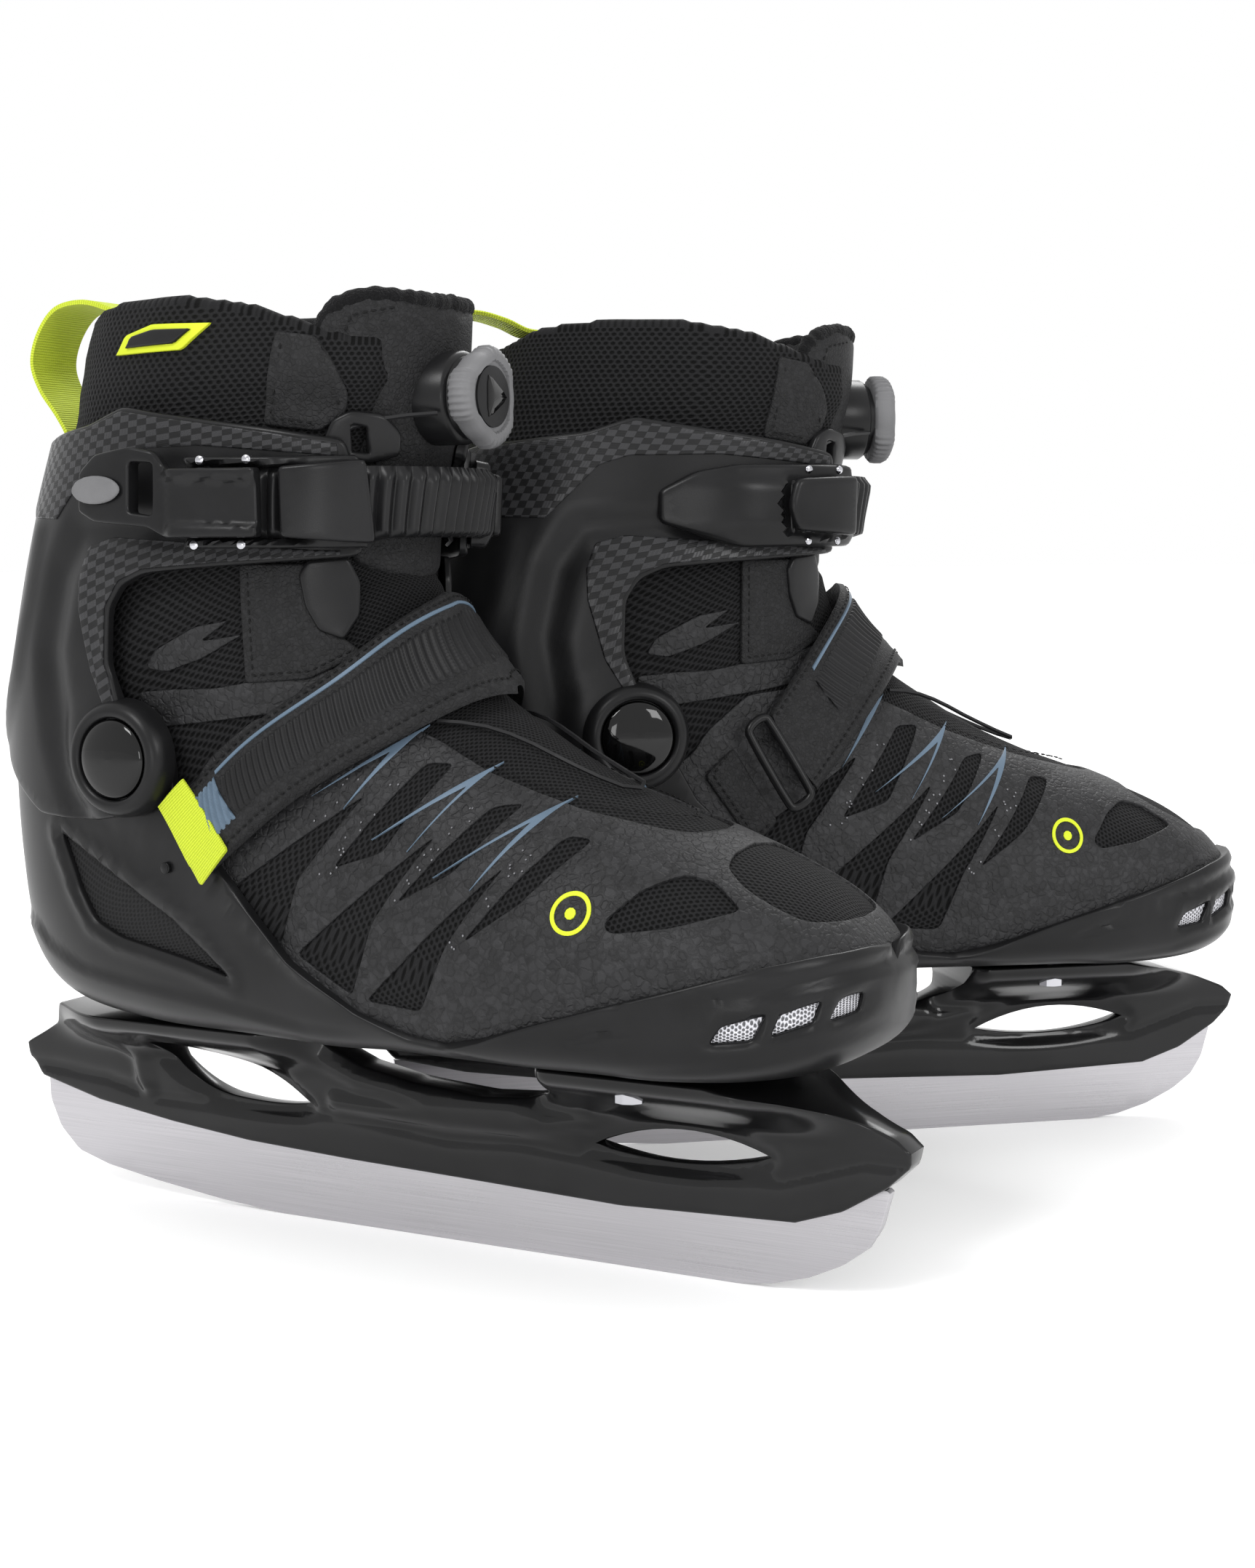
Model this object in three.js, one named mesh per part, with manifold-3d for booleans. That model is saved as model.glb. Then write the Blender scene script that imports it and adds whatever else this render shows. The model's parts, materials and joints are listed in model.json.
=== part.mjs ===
// A pair of recreational soft-boot ice skates, in millimetres, +Z up, toes towards +X.
// Each skate is worked out as the left one: x forward from the ankle pivot, y outwards
// (lateral), z up from the ice. The right skate is its mirror image.
import * as THREE from 'three';
import { mergeVertices } from 'three/addons/utils/BufferGeometryUtils.js';
import Module from 'manifold-3d';

const wasm = await Module();
wasm.setup();

// ---------------------------------------------------------------- driving dimensions
const toeSpread = 19.91;            // degrees that each skate turns out from straight ahead
const leftAhead = 105.6;            // the left ankle is this far ahead of the right one
const pivotApart = 86.2;            // and this far to its left
const gap = 0.4;                    // clearance between neighbours
const pivotHeight = 145;            // ankle pivot above the ice
const cuffFlex = 8;                 // degrees that the cuff flexes forward

const runnerThickness = 3.6;
const runnerLet = 7;                // how deep the runner sits in the holder
const webThickness = 11;
const footFloor = 65.4;              // the boot stands at this height
const flangeThickness = 5;
const frontFlangeWidth = 58;
const rearFlangeWidth = 48;
const boltRadius = 2.5;
const boltHeadRadius = 4.6;

const bootWall = 4.2;
const collarWall = 7;
const footbedThickness = 3.5;
const shellWall = 3.8;
const cuffWall = 3.6;
const strapWall = 3;
const instepWall = 3;
const guideWall = 3.6;
const shellInner = gap;
const shellOuter = shellInner + shellWall;
const flangeTop = footFloor - shellOuter;   // top of the holder, right under the shell
const cuffInner = shellOuter + gap;
const cuffOuter = cuffInner + cuffWall;
const floorInner = cuffOuter + gap;
const floorOuter = floorInner + 1.8;
const strapInner = floorOuter + gap;
const strapOuter = strapInner + strapWall;
const frameOuter = strapOuter + gap + 1.6;
const leverInner = strapOuter + gap + 0.2;
const leverOuter = leverInner + 6.6;
const buttonTravel = 2;
const buttonInner = strapOuter + gap + buttonTravel;
const buttonOuter = buttonInner + 3.6;
const instepInner = shellOuter + gap + 0.2;
const instepOuter = instepInner + instepWall;

const capRadius = 11.8;
const bossRadius = 16.5;
const pivotShank = 4;
const strapLow = 208;               // lower edge of the ladder strap
const strapHigh = 228;
const frameLow = 204.6;             // lower edge of the buckle frame
const frameHigh = 231.4;
const leverPin = [52, 218];         // x and z of the lever's hinge pin
const leverPinRadius = 1.8;
const dialHeight = 248;
const dialBaseRadius = 13.4;
const dialBaseFront = 91;
const knobRadius = 15;
const knobThickness = 7.6;
const spoolRadius = 8.6;
const laceRadius = 0.7;
const ringWire = 1.5;
const loopWidth = 20;
const loopThickness = 1.6;

// ---------------------------------------------------------------- the boot's surface
// One row for each section: the bottom or back point (x, z), the top or front point (x, z),
// the half width, the shift towards the inner side, where the widest point lies between the
// two, and how square the bottom and the top are.
const sections = [
  [218.0, 84.0, 218.5, 88.5, 4.0, 6.0, 0.50, 2.2, 2.2],
  [216.5, 78.5, 217.0, 94.0, 13.0, 6.0, 0.50, 2.5, 2.2],
  [212.5, 73.0, 213.5, 100.0, 24.0, 5.5, 0.45, 3.0, 2.2],
  [204.0, 69.0, 206.0, 107.5, 34.0, 5.0, 0.40, 4.0, 2.2],
  [189.0, 67.0, 193.0, 116.0, 42.0, 4.0, 0.36, 5.0, 2.2],
  [166.0, 66.0, 170.0, 126.0, 47.5, 2.5, 0.34, 5.0, 2.1],
  [138.0, 66.0, 147.0, 134.5, 49.5, 1.0, 0.33, 5.0, 2.1],
  [106.0, 66.0, 127.0, 144.0, 48.5, 0.0, 0.33, 5.0, 2.0],
  [70.0, 66.0, 110.0, 154.5, 46.0, 0.0, 0.35, 5.0, 2.0],
  [32.0, 66.0, 97.0, 163.5, 43.5, 0.0, 0.38, 4.5, 2.0],
  [-8.0, 66.0, 86.0, 173.5, 41.5, 0.0, 0.42, 4.0, 2.1],
  [-42.0, 70.0, 78.5, 184.0, 40.5, 0.0, 0.46, 3.2, 2.1],
  [-60.0, 83.0, 75.5, 192.0, 40.0, 0.0, 0.50, 2.6, 2.2],
  [-66.5, 106.0, 74.0, 199.0, 41.0, 0.0, 0.50, 2.3, 2.3],
  [-68.5, 134.0, 74.0, 206.0, 42.0, 0.0, 0.50, 2.2, 2.3],
  [-67.0, 160.0, 74.5, 213.0, 42.0, 0.0, 0.50, 2.2, 2.3],
  [-62.0, 187.0, 76.0, 221.0, 41.0, 0.0, 0.50, 2.2, 2.3],
  [-55.0, 214.0, 78.5, 232.0, 40.0, 0.0, 0.50, 2.2, 2.3],
  [-46.0, 240.0, 82.5, 246.0, 39.5, 0.0, 0.50, 2.2, 2.3],
  [-39.0, 261.0, 85.5, 261.0, 39.5, 0.0, 0.50, 2.2, 2.3],
  [-35.0, 292.0, 87.5, 292.0, 39.5, 0.0, 0.50, 2.2, 2.3],
];
const lastSection = sections.length - 1;
const sides = 14;
const rings = [0, 1, 2, 3, 4.5, 6, 8, 10, 11.5, 13, 15, 17, 18.5, 20];   // rows that the solids use

// Catmull-Rom blend of the section rows at a fractional row number
function sectionAt(row) {
  const clamped = Math.min(Math.max(row, 0), lastSection);
  const start = Math.min(Math.floor(clamped), lastSection - 1);
  const f = clamped - start;
  const near = (i) => sections[Math.min(Math.max(i, 0), lastSection)];
  const [a, b, c, d] = [near(start - 1), near(start), near(start + 1), near(start + 2)];
  return b.map((value, k) => value + 0.5 * f * (c[k] - a[k]
    + f * (2 * a[k] - 5 * value + 4 * c[k] - d[k] + f * (3 * (value - c[k]) + d[k] - a[k]))));
}

// A point of the surface: angle 0 is the top or front, 180 the bottom or back, 90 outwards
function surfacePoint(row, angle) {
  const [ax, az, bx, bz, width, drift, mid, bottomPower, topPower] = sectionAt(row);
  const turn = THREE.MathUtils.degToRad(angle);
  const power = 2 / (Math.cos(turn) >= 0 ? topPower : bottomPower);
  const along = Math.sign(Math.cos(turn)) * Math.abs(Math.cos(turn)) ** power;
  const across = Math.sign(Math.sin(turn)) * Math.abs(Math.sin(turn)) ** power;
  const reach = along >= 0 ? 1 - mid : mid;
  const share = mid + reach * along;
  return new THREE.Vector3(ax + (bx - ax) * share, width * across - drift, az + (bz - az) * share);
}

function surfaceNormal(row, angle) {
  const step = 0.02;
  const alongRow = surfacePoint(row + step, angle).sub(surfacePoint(row - step, angle));
  const alongAngle = surfacePoint(row, angle + 1).sub(surfacePoint(row, angle - 1));
  return alongAngle.cross(alongRow).normalize();
}

// A point at a height over the surface
function onSkin(row, angle, height) {
  return surfacePoint(row, angle).addScaledVector(surfaceNormal(row, angle), height);
}

// The half width of the boot at a side-view place (x, z), on the outer side
function halfWidthAt(x, z) {
  const steps = 600;
  let best = null;
  for (let i = 0; i <= steps; i += 1) {
    const row = (i / steps) * lastSection;
    const [ax, az, bx, bz, width, drift, mid, bottomPower, topPower] = sectionAt(row);
    const off = Math.abs((bx - ax) * (z - az) - (bz - az) * (x - ax)) / Math.hypot(bx - ax, bz - az);
    const share = ((x - ax) * (bx - ax) + (z - az) * (bz - az)) / ((bx - ax) ** 2 + (bz - az) ** 2);
    if (share > 0 && share < 1 && (best === null || off < best.off)) {
      const top = share >= mid;
      const tau = top ? (share - mid) / (1 - mid) : (mid - share) / mid;
      const power = top ? topPower : bottomPower;
      best = { off, width: width * (1 - tau ** power) ** (1 / power) - drift };
    }
  }
  return best.width;
}

// ---------------------------------------------------------------- solids
function solidOf(geometry) {
  const bare = geometry.clone();
  bare.deleteAttribute('normal');
  bare.deleteAttribute('uv');
  const merged = mergeVertices(bare, 1e-4);
  return new wasm.Manifold(new wasm.Mesh({
    numProp: 3,
    vertProperties: new Float32Array(merged.attributes.position.array),
    triVerts: new Uint32Array(merged.index.array),
  }));
}

// The closed boot body, its skin moved outwards by a height (inwards when it is negative)
const bodies = new Map();
function body(height) {
  if (bodies.has(height)) return bodies.get(height);
  const points = [];
  const faces = [];
  for (const row of rings) {
    for (let k = 0; k < sides; k += 1) points.push(onSkin(row, (360 * k) / sides, height));
  }
  const last = rings.length - 1;
  const middle = (ring) => points.slice(ring * sides, (ring + 1) * sides)
    .reduce((sum, point) => sum.add(point), new THREE.Vector3()).divideScalar(sides);
  const tip = points.length;
  points.push(middle(0).add(new THREE.Vector3(Math.max(height * 0.4, -1), 0, 0)), middle(last));
  for (let k = 0; k < sides; k += 1) {
    const next = (k + 1) % sides;
    faces.push(tip, next, k, tip + 1, last * sides + k, last * sides + next);
    for (let ring = 0; ring < last; ring += 1) {
      const [a, b] = [ring * sides + k, ring * sides + next];
      faces.push(a, b, a + sides, b, b + sides, a + sides);
    }
  }
  const geometry = new THREE.BufferGeometry().setFromPoints(points);
  geometry.setIndex(faces);
  const solid = solidOf(geometry);
  bodies.set(height, solid);
  return solid;
}

const layer = (inner, outer) => body(outer).subtract(body(inner));

// A side-view outline in (x, z) carried through y0 to y1
function prism(outline, y0, y1) {
  const shape = outline instanceof THREE.Shape ? outline
    : new THREE.Shape(outline.map(([x, z]) => new THREE.Vector2(x, z)));
  const geometry = new THREE.ExtrudeGeometry(shape, { depth: y1 - y0, bevelEnabled: false, curveSegments: 6 });
  geometry.rotateX(Math.PI / 2);
  geometry.translate(0, y1, 0);
  return solidOf(geometry);
}

const both = (outline) => prism(outline, -90, 90);
const outerSide = (outline) => prism(outline, 0, 90);
const innerSide = (outline) => prism(outline, -90, 0);

function block(x0, x1, y0, y1, z0, z1) {
  return prism([[x0, z0], [x1, z0], [x1, z1], [x0, z1]], y0, y1);
}

// A cylinder along an axis letter, from one coordinate to another
function rod(axis, radius, from, to, place, segments = 16) {
  const geometry = new THREE.CylinderGeometry(radius, radius, Math.abs(to - from), segments);
  const centre = (from + to) / 2;
  if (axis === 'x') geometry.rotateZ(Math.PI / 2).translate(centre, place[0], place[1]);
  if (axis === 'y') geometry.translate(place[0], centre, place[1]);
  if (axis === 'z') geometry.rotateX(Math.PI / 2).translate(place[0], place[1], centre);
  return solidOf(geometry);
}

// A round wire along a smooth path of points
function wire(points, radius, steps, corners, closed = false) {
  const ring = Array.from({ length: corners }, (_, k) => {
    const turn = (2 * Math.PI * k) / corners;
    return new THREE.Vector2(radius * Math.cos(turn), radius * Math.sin(turn));
  });
  const path = new THREE.CatmullRomCurve3(points, closed, 'centripetal');
  const geometry = new THREE.ExtrudeGeometry(new THREE.Shape(ring), { steps, extrudePath: path, bevelEnabled: false });
  return solidOf(geometry);
}

// ---------------------------------------------------------------- runner and holder
const runnerFoot = [[-73.8, 34], [-73.6, 27], [-69.5, 18], [-62, 11], [-50, 7.6], [-30, 4.6], [-5, 1.7],
  [20, 0], [175, 0], [186, 1.4], [197, 4.6], [207, 9.4], [214, 14.6], [218, 21], [221, 32]];
const holderFoot = [[221, 33.2], [208, 25.2], [194, 20.4], [140, 18.4], [86, 20], [47, 21], [9, 22.6],
  [-21, 25.5], [-50, 29.4], [-74, 35.2]];

function runner() {
  const top = holderFoot.slice(1).map(([x, z]) => [x, z + runnerLet]);
  return prism([...runnerFoot, ...top.slice(0, -1), [-73, 37]], -runnerThickness / 2, runnerThickness / 2);
}

// The front opening is an oval drawn out to a point at each end
function frontOpening() {
  const hole = new THREE.Shape();
  hole.moveTo(131.2, 35.3);
  hole.quadraticCurveTo(158, 48, 186.3, 37.4);
  hole.quadraticCurveTo(160, 29, 131.2, 35.3);
  return hole;
}

function rearOpening() {
  const hole = new THREE.Shape();
  hole.moveTo(-25, 51.5);
  hole.quadraticCurveTo(-13, 38.5, 2, 36);
  hole.quadraticCurveTo(20, 34, 31, 36.4);
  hole.quadraticCurveTo(20, 46, -4, 50.4);
  hole.quadraticCurveTo(-16, 53.4, -25, 51.5);
  return hole;
}

function taper(x0, x1, lowHalf, highHalf, z0, z1) {
  const shape = new THREE.Shape([[-lowHalf, z0], [lowHalf, z0], [highHalf, z1], [-highHalf, z1]]
    .map(([y, z]) => new THREE.Vector2(y, z)));
  const geometry = new THREE.ExtrudeGeometry(shape, { depth: x1 - x0, bevelEnabled: false });
  geometry.rotateX(Math.PI / 2).rotateZ(Math.PI / 2).translate(x0, 0, 0);
  return solidOf(geometry);
}

const flangeBottom = flangeTop - flangeThickness;
const frontBolts = { x: 152, y: 21 };
const rearBolt = { x: -15, y: 0 };

function holder() {
  const crown = [[-79, 41], [-79.5, 46], [-73, 49.5], [-65, 54], [-62, flangeTop], [27, flangeTop], [33, 60],
    [41, 55], [52, 50.6], [70, 47.4], [94, 45.6], [110, 46.8], [119, 50], [122, 54], [123, flangeTop],
    [178, flangeTop], [196, 57], [214, 51], [224, 47], [228, 43.5], [227.5, 39.5]];
  const web = prism([...holderFoot, ...crown], -webThickness / 2, webThickness / 2);
  const plate = (x0, x1, width) => block(x0, x1, -width / 2, width / 2, flangeBottom, flangeTop);
  let solid = web.add(plate(122, 184, frontFlangeWidth)).add(plate(-56, 28, rearFlangeWidth))
    .add(taper(126, 172, 5, frontFlangeWidth / 2 - 4, 46, flangeBottom + 0.5))
    .add(taper(-50, 22, 5, rearFlangeWidth / 2 - 4, 54, flangeBottom + 0.5));
  const slotWall = runnerThickness / 2 + 0.35;
  const slot = prism([[-90, 0], [240, 0], [240, 39.4], ...holderFoot.slice(1, -1)
    .map(([x, z]) => [x, z + runnerLet + gap]), [-74.2, 37.6], [-90, 37.6]], -slotWall, slotWall);
  solid = solid.subtract(slot).subtract(prism(frontOpening(), -30, 30)).subtract(prism(rearOpening(), -30, 30));
  for (const side of [1, -1]) {
    solid = solid.subtract(rod('z', boltRadius + 0.35, 40, 70, [frontBolts.x, side * frontBolts.y], 10));
    solid = solid.subtract(rod('z', boltHeadRadius + 0.5, 30, flangeBottom + 1, [frontBolts.x, side * frontBolts.y], 10));
  }
  return solid.subtract(rod('z', boltRadius + 0.35, 52, 70, [rearBolt.x, rearBolt.y], 10));
}

function frontBolt(side) {
  const place = [frontBolts.x, side * frontBolts.y];
  const headTop = flangeBottom + 1 - 0.35;
  return rod('z', boltHeadRadius, headTop - 3.4, headTop, place, 10)
    .add(rod('z', boltRadius, headTop - 0.5, 65.6, place, 10));
}

function rearScrew() {
  return rod('z', boltHeadRadius, 62.4, 65.2, [rearBolt.x, rearBolt.y], 12)
    .add(rod('z', boltRadius, 52.6, 63, [rearBolt.x, rearBolt.y], 10));
}

// ---------------------------------------------------------------- shell, boot and cuff
const windowOutline = [[-32, 121], [-13, 111], [12, 98], [34, 82.5], [18, 86.5], [-8, 91], [-18, 95], [-25, 105]];

function shell() {
  const outline = [[240, 40], [240, 100], [226, 99.5], [205, 97], [184, 92], [165, 87], [145, 81], [122, 74],
    [108, 71], [97, 72], [80, 77], [57, 89], [43, 102], [32, 113], [21, 124], [15, 135], [13, 150], [6, 156],
    [-6, 157], [-14, 151], [-90, 150.4], [-90, 40]];
  let solid = layer(shellInner, shellOuter).intersect(both(outline)).subtract(both(windowOutline));
  for (const side of [1, -1]) {
    solid = solid.subtract(rod('z', boltRadius + 0.35, 55, 68, [frontBolts.x, side * frontBolts.y], 10));
  }
  solid = solid.subtract(rod('z', boltHeadRadius + 0.6, 55, 68, [rearBolt.x, rearBolt.y], 10));
  return solid.subtract(rod('y', pivotShank + 0.35, -70, 70, [0, pivotHeight], 10));
}

// The boot is split at the ankle by two planes through the pivot, further apart in front,
// so that the collar can flex forward without meeting the foot
const splitFoot = THREE.MathUtils.degToRad(30);
const splitCollar = splitFoot + THREE.MathUtils.degToRad(cuffFlex + 4);
const farX = 110;
const tongueStart = 62;

function above(angle, lift) {
  return both([[-100, pivotHeight + lift], [0, pivotHeight + lift], [farX, pivotHeight + lift + farX * Math.tan(angle)],
    [farX, 300], [-100, 300]]);
}

function bootFoot() {
  return layer(-bootWall, 0).subtract(above(splitFoot, -gap / 2));
}

function footbed() {
  const floor = 66 + bootWall + gap;
  return body(-bootWall - gap).intersect(block(-80, 230, -60, 60, floor, floor + footbedThickness));
}

function collar() {
  const rim = both([[-70, 254], [-46, 258], [-38, 267], [-27, 272.6], [-5, 274.6], [17, 274.4], [40, 271],
    [56, 266], [tongueStart, 262], [tongueStart, 100], [-100, 100]]);
  return layer(-collarWall, 0).intersect(above(splitCollar, gap / 2)).intersect(rim);
}

function tongue() {
  const panel = both([[tongueStart + gap, 100], [tongueStart + gap, 272], [75, 276.6], [88, 273.5], [100, 268], [100, 100]]);
  return layer(-collarWall, 0).intersect(above(splitCollar, gap / 2)).intersect(panel);
}

function cuff() {
  const arms = both([[66, 203.2], [10, 198], [2, 194.6], [-2.5, 188], [-3.4, 172], [1, 160], [12, 150], [16, 143],
    [10, 131], [0, 128], [-14, 126], [-35, 127], [-46, 134], [-58, 142], [-95, 149], [-95, 214], [-64, 222],
    [-54, 235.5], [-30, 238.5], [-12, 241], [2, 246], [14, 244], [48, 239.4], [66, 236.4]]);
  let solid = layer(cuffInner, cuffOuter).intersect(arms);
  const inside = halfWidthAt(0, pivotHeight) + cuffInner + 0.8;
  for (const side of [1, -1]) {
    solid = solid.add(rod('y', bossRadius, side * inside, side * (inside + 8), [0, pivotHeight], 20));
    solid = solid.subtract(rod('y', capRadius + 0.5, side * (inside + 4.4), side * (inside + 20), [0, pivotHeight], 20));
  }
  return solid.subtract(rod('y', pivotShank + 0.35, -80, 80, [0, pivotHeight], 10));
}

function pivotBolt(side) {
  const inside = halfWidthAt(0, pivotHeight);
  const seat = inside + cuffInner + 0.8 + 4.4 + 0.35;
  return rod('y', capRadius, side * seat, side * (seat + 4.6), [0, pivotHeight], 20)
    .add(rod('y', pivotShank, side * (inside + gap + 0.3), side * (seat + 1), [0, pivotHeight], 10));
}

// ---------------------------------------------------------------- ratchet buckle and strap
const box2 = (x0, x1, z0, z1) => [[x0, z0], [x1, z0], [x1, z1], [x0, z1]];
const pinOut = halfWidthAt(...leverPin) + leverInner + 3.4;

function strapTunnel(make, x0, x1) {
  return layer(floorOuter, strapOuter + gap).intersect(make(box2(x0, x1, strapLow - gap, strapHigh + gap)));
}

function buckleBase() {
  const frame = layer(floorInner, frameOuter).intersect(outerSide(box2(26, 78, frameLow, frameHigh)));
  const open = layer(strapOuter, frameOuter + 6)
    .intersect(outerSide(box2(20, 60, strapLow - gap, strapHigh + gap)));
  let ears = block(46.5, 57.5, pinOut - 9, pinOut + 3.4, frameLow, strapLow - gap)
    .add(block(46.5, 57.5, pinOut - 9, pinOut + 3.4, strapHigh + gap, frameHigh));
  ears = ears.subtract(body(floorInner));
  return frame.subtract(open).subtract(strapTunnel(outerSide, 20, 90)).add(ears)
    .subtract(rod('z', leverPinRadius + 0.35, 190, 250, [leverPin[0], pinOut], 10));
}

function buckleLever() {
  const outline = [[53.2, strapLow + gap], [25, strapLow + gap], [20, 211.5], [2, 213], [-4, 216], [-4, 227],
    [2, 232], [14, 234], [22, 232.4], [25, strapHigh - gap], [53.2, strapHigh - gap]];
  const arm = layer(leverInner, leverOuter).intersect(outerSide(outline));
  const tipSeat = layer(leverInner - 1, leverOuter + 3).intersect(outerSide(box2(-12, 18, 217.2, 226.8)));
  return arm.subtract(tipSeat).add(rod('z', leverPinRadius, frameLow + 0.4, frameHigh - 0.4, [leverPin[0], pinOut], 10));
}

function buckleTip() {
  const oval = new THREE.Shape();
  oval.absellipse(3.4, 222, 9.6, 4.2, 0, 2 * Math.PI);
  return layer(leverInner + 0.6, leverOuter + 1.6).intersect(outerSide(oval));
}

function ladderStrap() {
  const band = layer(strapInner, strapOuter).intersect(both(box2(30, 110, strapLow, strapHigh)));
  return band.subtract(innerSide(box2(20, 46, 190, 250)));
}

function pressHousing() {
  const frame = layer(floorInner, frameOuter + 1.6).intersect(innerSide(box2(34, 76, frameLow, frameHigh)));
  const open = layer(strapOuter, frameOuter + 8)
    .intersect(innerSide(box2(48, 90, strapLow - gap, strapHigh + gap)));
  return frame.subtract(open).subtract(strapTunnel(innerSide, 42, 90));
}

function pressButton() {
  return layer(buttonInner, buttonOuter).intersect(innerSide(box2(49, 76, strapLow + 0.4, strapHigh - 0.4)));
}

// ---------------------------------------------------------------- lacing
function dialBase() {
  const cup = rod('x', dialBaseRadius, 70, dialBaseFront, [0, dialHeight], 16);
  return cup.subtract(body(gap)).subtract(rod('x', spoolRadius + 0.5, 87, 100, [0, dialHeight], 16));
}

function dialSpool() {
  return rod('x', spoolRadius, 87.4, 88.6, [0, dialHeight], 16).add(rod('x', 4.6, 88, 90.2, [0, dialHeight], 10))
    .add(rod('x', spoolRadius, 89.8, dialBaseFront, [0, dialHeight], 16));
}

function dialKnob() {
  const back = dialBaseFront + 0.4;
  const lobes = new THREE.Shape();
  const corners = 24;
  for (let k = 0; k < corners; k += 1) {
    const turn = (2 * Math.PI * k) / corners;
    const radius = knobRadius * (0.97 + 0.03 * Math.cos(3 * turn));
    const [y, z] = [radius * Math.cos(turn), radius * Math.sin(turn)];
    if (k === 0) lobes.moveTo(y, z);
    else lobes.lineTo(y, z);
  }
  lobes.closePath();
  const geometry = new THREE.ExtrudeGeometry(lobes, { depth: knobThickness, bevelEnabled: false });
  geometry.rotateX(Math.PI / 2).rotateZ(Math.PI / 2).translate(back, 0, dialHeight);
  return solidOf(geometry);
}

// Route of the upper lace: row, angle and height over the skin for each point, from the dial
// round the upper guide, across the shin to the lower guide of the other side and back
const laceHalf = [[17.75, 30, 2.2], [17.5, 44, 2.6], [17.0, 50, 2.6], [16.3, 43, 2.2], [15.6, 22, 1.8]];
const laceLow = [[15.3, 20], [15.1, 34], [14.9, 40], [14.7, 34], [14.6, 18]];

const laceStart = new THREE.Vector3(88.2, dialBaseRadius + 0.6, dialHeight - 5);

function laceUpper() {
  const down = laceHalf.map(([row, angle, height]) => onSkin(row, angle, height));
  const cross = onSkin(15.45, 0, 1.3);
  const low = laceLow.map(([row, angle]) => onSkin(row, -angle, 2.0));
  const under = onSkin(14.6, 0, 1.6);
  const flip = (point) => new THREE.Vector3(point.x, -point.y, point.z);
  const back = laceLow.map(([row, angle]) => onSkin(row, -angle, row > 15.2 ? 4.0 : 2.0)).reverse().map(flip);
  const over = onSkin(15.45, 0, 4.6);
  const up = laceHalf.map(([row, angle, height]) => onSkin(row, angle, row < 16 ? 4.2 : height)).reverse().map(flip);
  return wire([laceStart, ...down, cross, ...low, under, ...back, over, ...up, flip(laceStart)], laceRadius, 40, 5);
}

function laceLower() {
  const run = [[9.0, 30], [8.4, 22], [7.8, 16], [7.2, 12], [6.6, 9], [6.2, 5]];
  const near = run.map(([row, angle]) => onSkin(row, angle, 2.2));
  const far = run.map(([row, angle]) => onSkin(row, -angle, 2.2)).reverse();
  return wire([...near, ...far], laceRadius, 18, 5);
}

function upperGuide(side) {
  const outline = [[61, 236], [63.5, 241.5], [68, 244], [74.5, 243], [76.5, 238.5], [75, 231.5], [69.5, 229], [63.5, 231]];
  const half = side > 0 ? outerSide(outline) : innerSide(outline);
  const groove = [laceStart, ...laceHalf.map(([row, angle, height]) => onSkin(row, angle, height))]
    .map((point) => new THREE.Vector3(point.x, side * point.y, point.z));
  return layer(gap, gap + guideWall).intersect(half).subtract(wire(groove, laceRadius + 0.7, 10, 5));
}

// ---------------------------------------------------------------- instep strap and its ring
const ringCorners = [[37, 145], [52, 119], [59, 123.5], [43.5, 149.5]];
const strapOver = [[17.6, 133.4], [40, 155], [64, 171], [77, 190], [86, 200], [112, 172], [106, 164], [98, 157],
  [58, 134.5], [30, 112], [23.4, 121]];
const strapUnder = [[45.4, 150.6], [58, 167], [72, 187], [80, 196], [86, 200], [112, 172], [106, 164], [92, 160],
  [80, 147], [60.9, 124.6]];

function instepStrap() {
  return layer(instepInner, instepOuter).intersect(outerSide(strapOver).add(innerSide(strapUnder)))
    .subtract(wire(ringPath(), ringWire + gap + 0.2, 16, 6, true));
}

function onInnerSide([x, z], height) {
  const drop = 2;
  const slopeX = (halfWidthAt(x + drop, z) - halfWidthAt(x - drop, z)) / (2 * drop);
  const slopeZ = (halfWidthAt(x, z + drop) - halfWidthAt(x, z - drop)) / (2 * drop);
  const normal = new THREE.Vector3(-slopeX, -1, -slopeZ).normalize();
  return new THREE.Vector3(x, -halfWidthAt(x, z), z).addScaledVector(normal, height);
}

function ringPath() {
  const height = (instepInner + instepOuter) / 2 + 0.4;
  const corners = ringCorners.map((place) => onInnerSide(place, height));
  const points = [];
  for (let i = 0; i < corners.length; i += 1) {
    const [a, b] = [corners[i], corners[(i + 1) % corners.length]];
    for (const share of [0.12, 0.5, 0.88]) points.push(a.clone().lerp(b, share));
  }
  return points;
}

const strapRing = () => wire(ringPath(), ringWire, 16, 6, true);

function ringAnchor() {
  const flap = [[34, 140], [48.4, 115.8], [40, 108], [24, 131]];
  return layer(instepInner, instepInner + 1.6).intersect(innerSide(flap));
}

// ---------------------------------------------------------------- pull loop
function pullLoop() {
  const route = [[-50.6, 238], [-51.6, 242], [-55.6, 248], [-61.6, 255.6], [-64.6, 264],
    [-61.6, 273], [-54.6, 280],
    [-44, 282.4], [-34, 279.6], [-26, 275.6], [-16, 276]];
  const path = new THREE.CatmullRomCurve3(route.map(([x, z]) => new THREE.Vector3(x, 0, z)), false, 'centripetal');
  const steps = 18;
  const sideOf = (sign) => Array.from({ length: steps + 1 }, (_, i) => {
    const point = path.getPoint(i / steps);
    const tangent = path.getTangent(i / steps);
    return [point.x - (sign * tangent.z * loopThickness) / 2, point.z + (sign * tangent.x * loopThickness) / 2];
  });
  return prism([...sideOf(1), ...sideOf(-1).reverse()], -loopWidth / 2, loopWidth / 2)
    .subtract(body(gap).intersect(block(-80, -28, -30, 30, 200, 268)));
}

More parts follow.
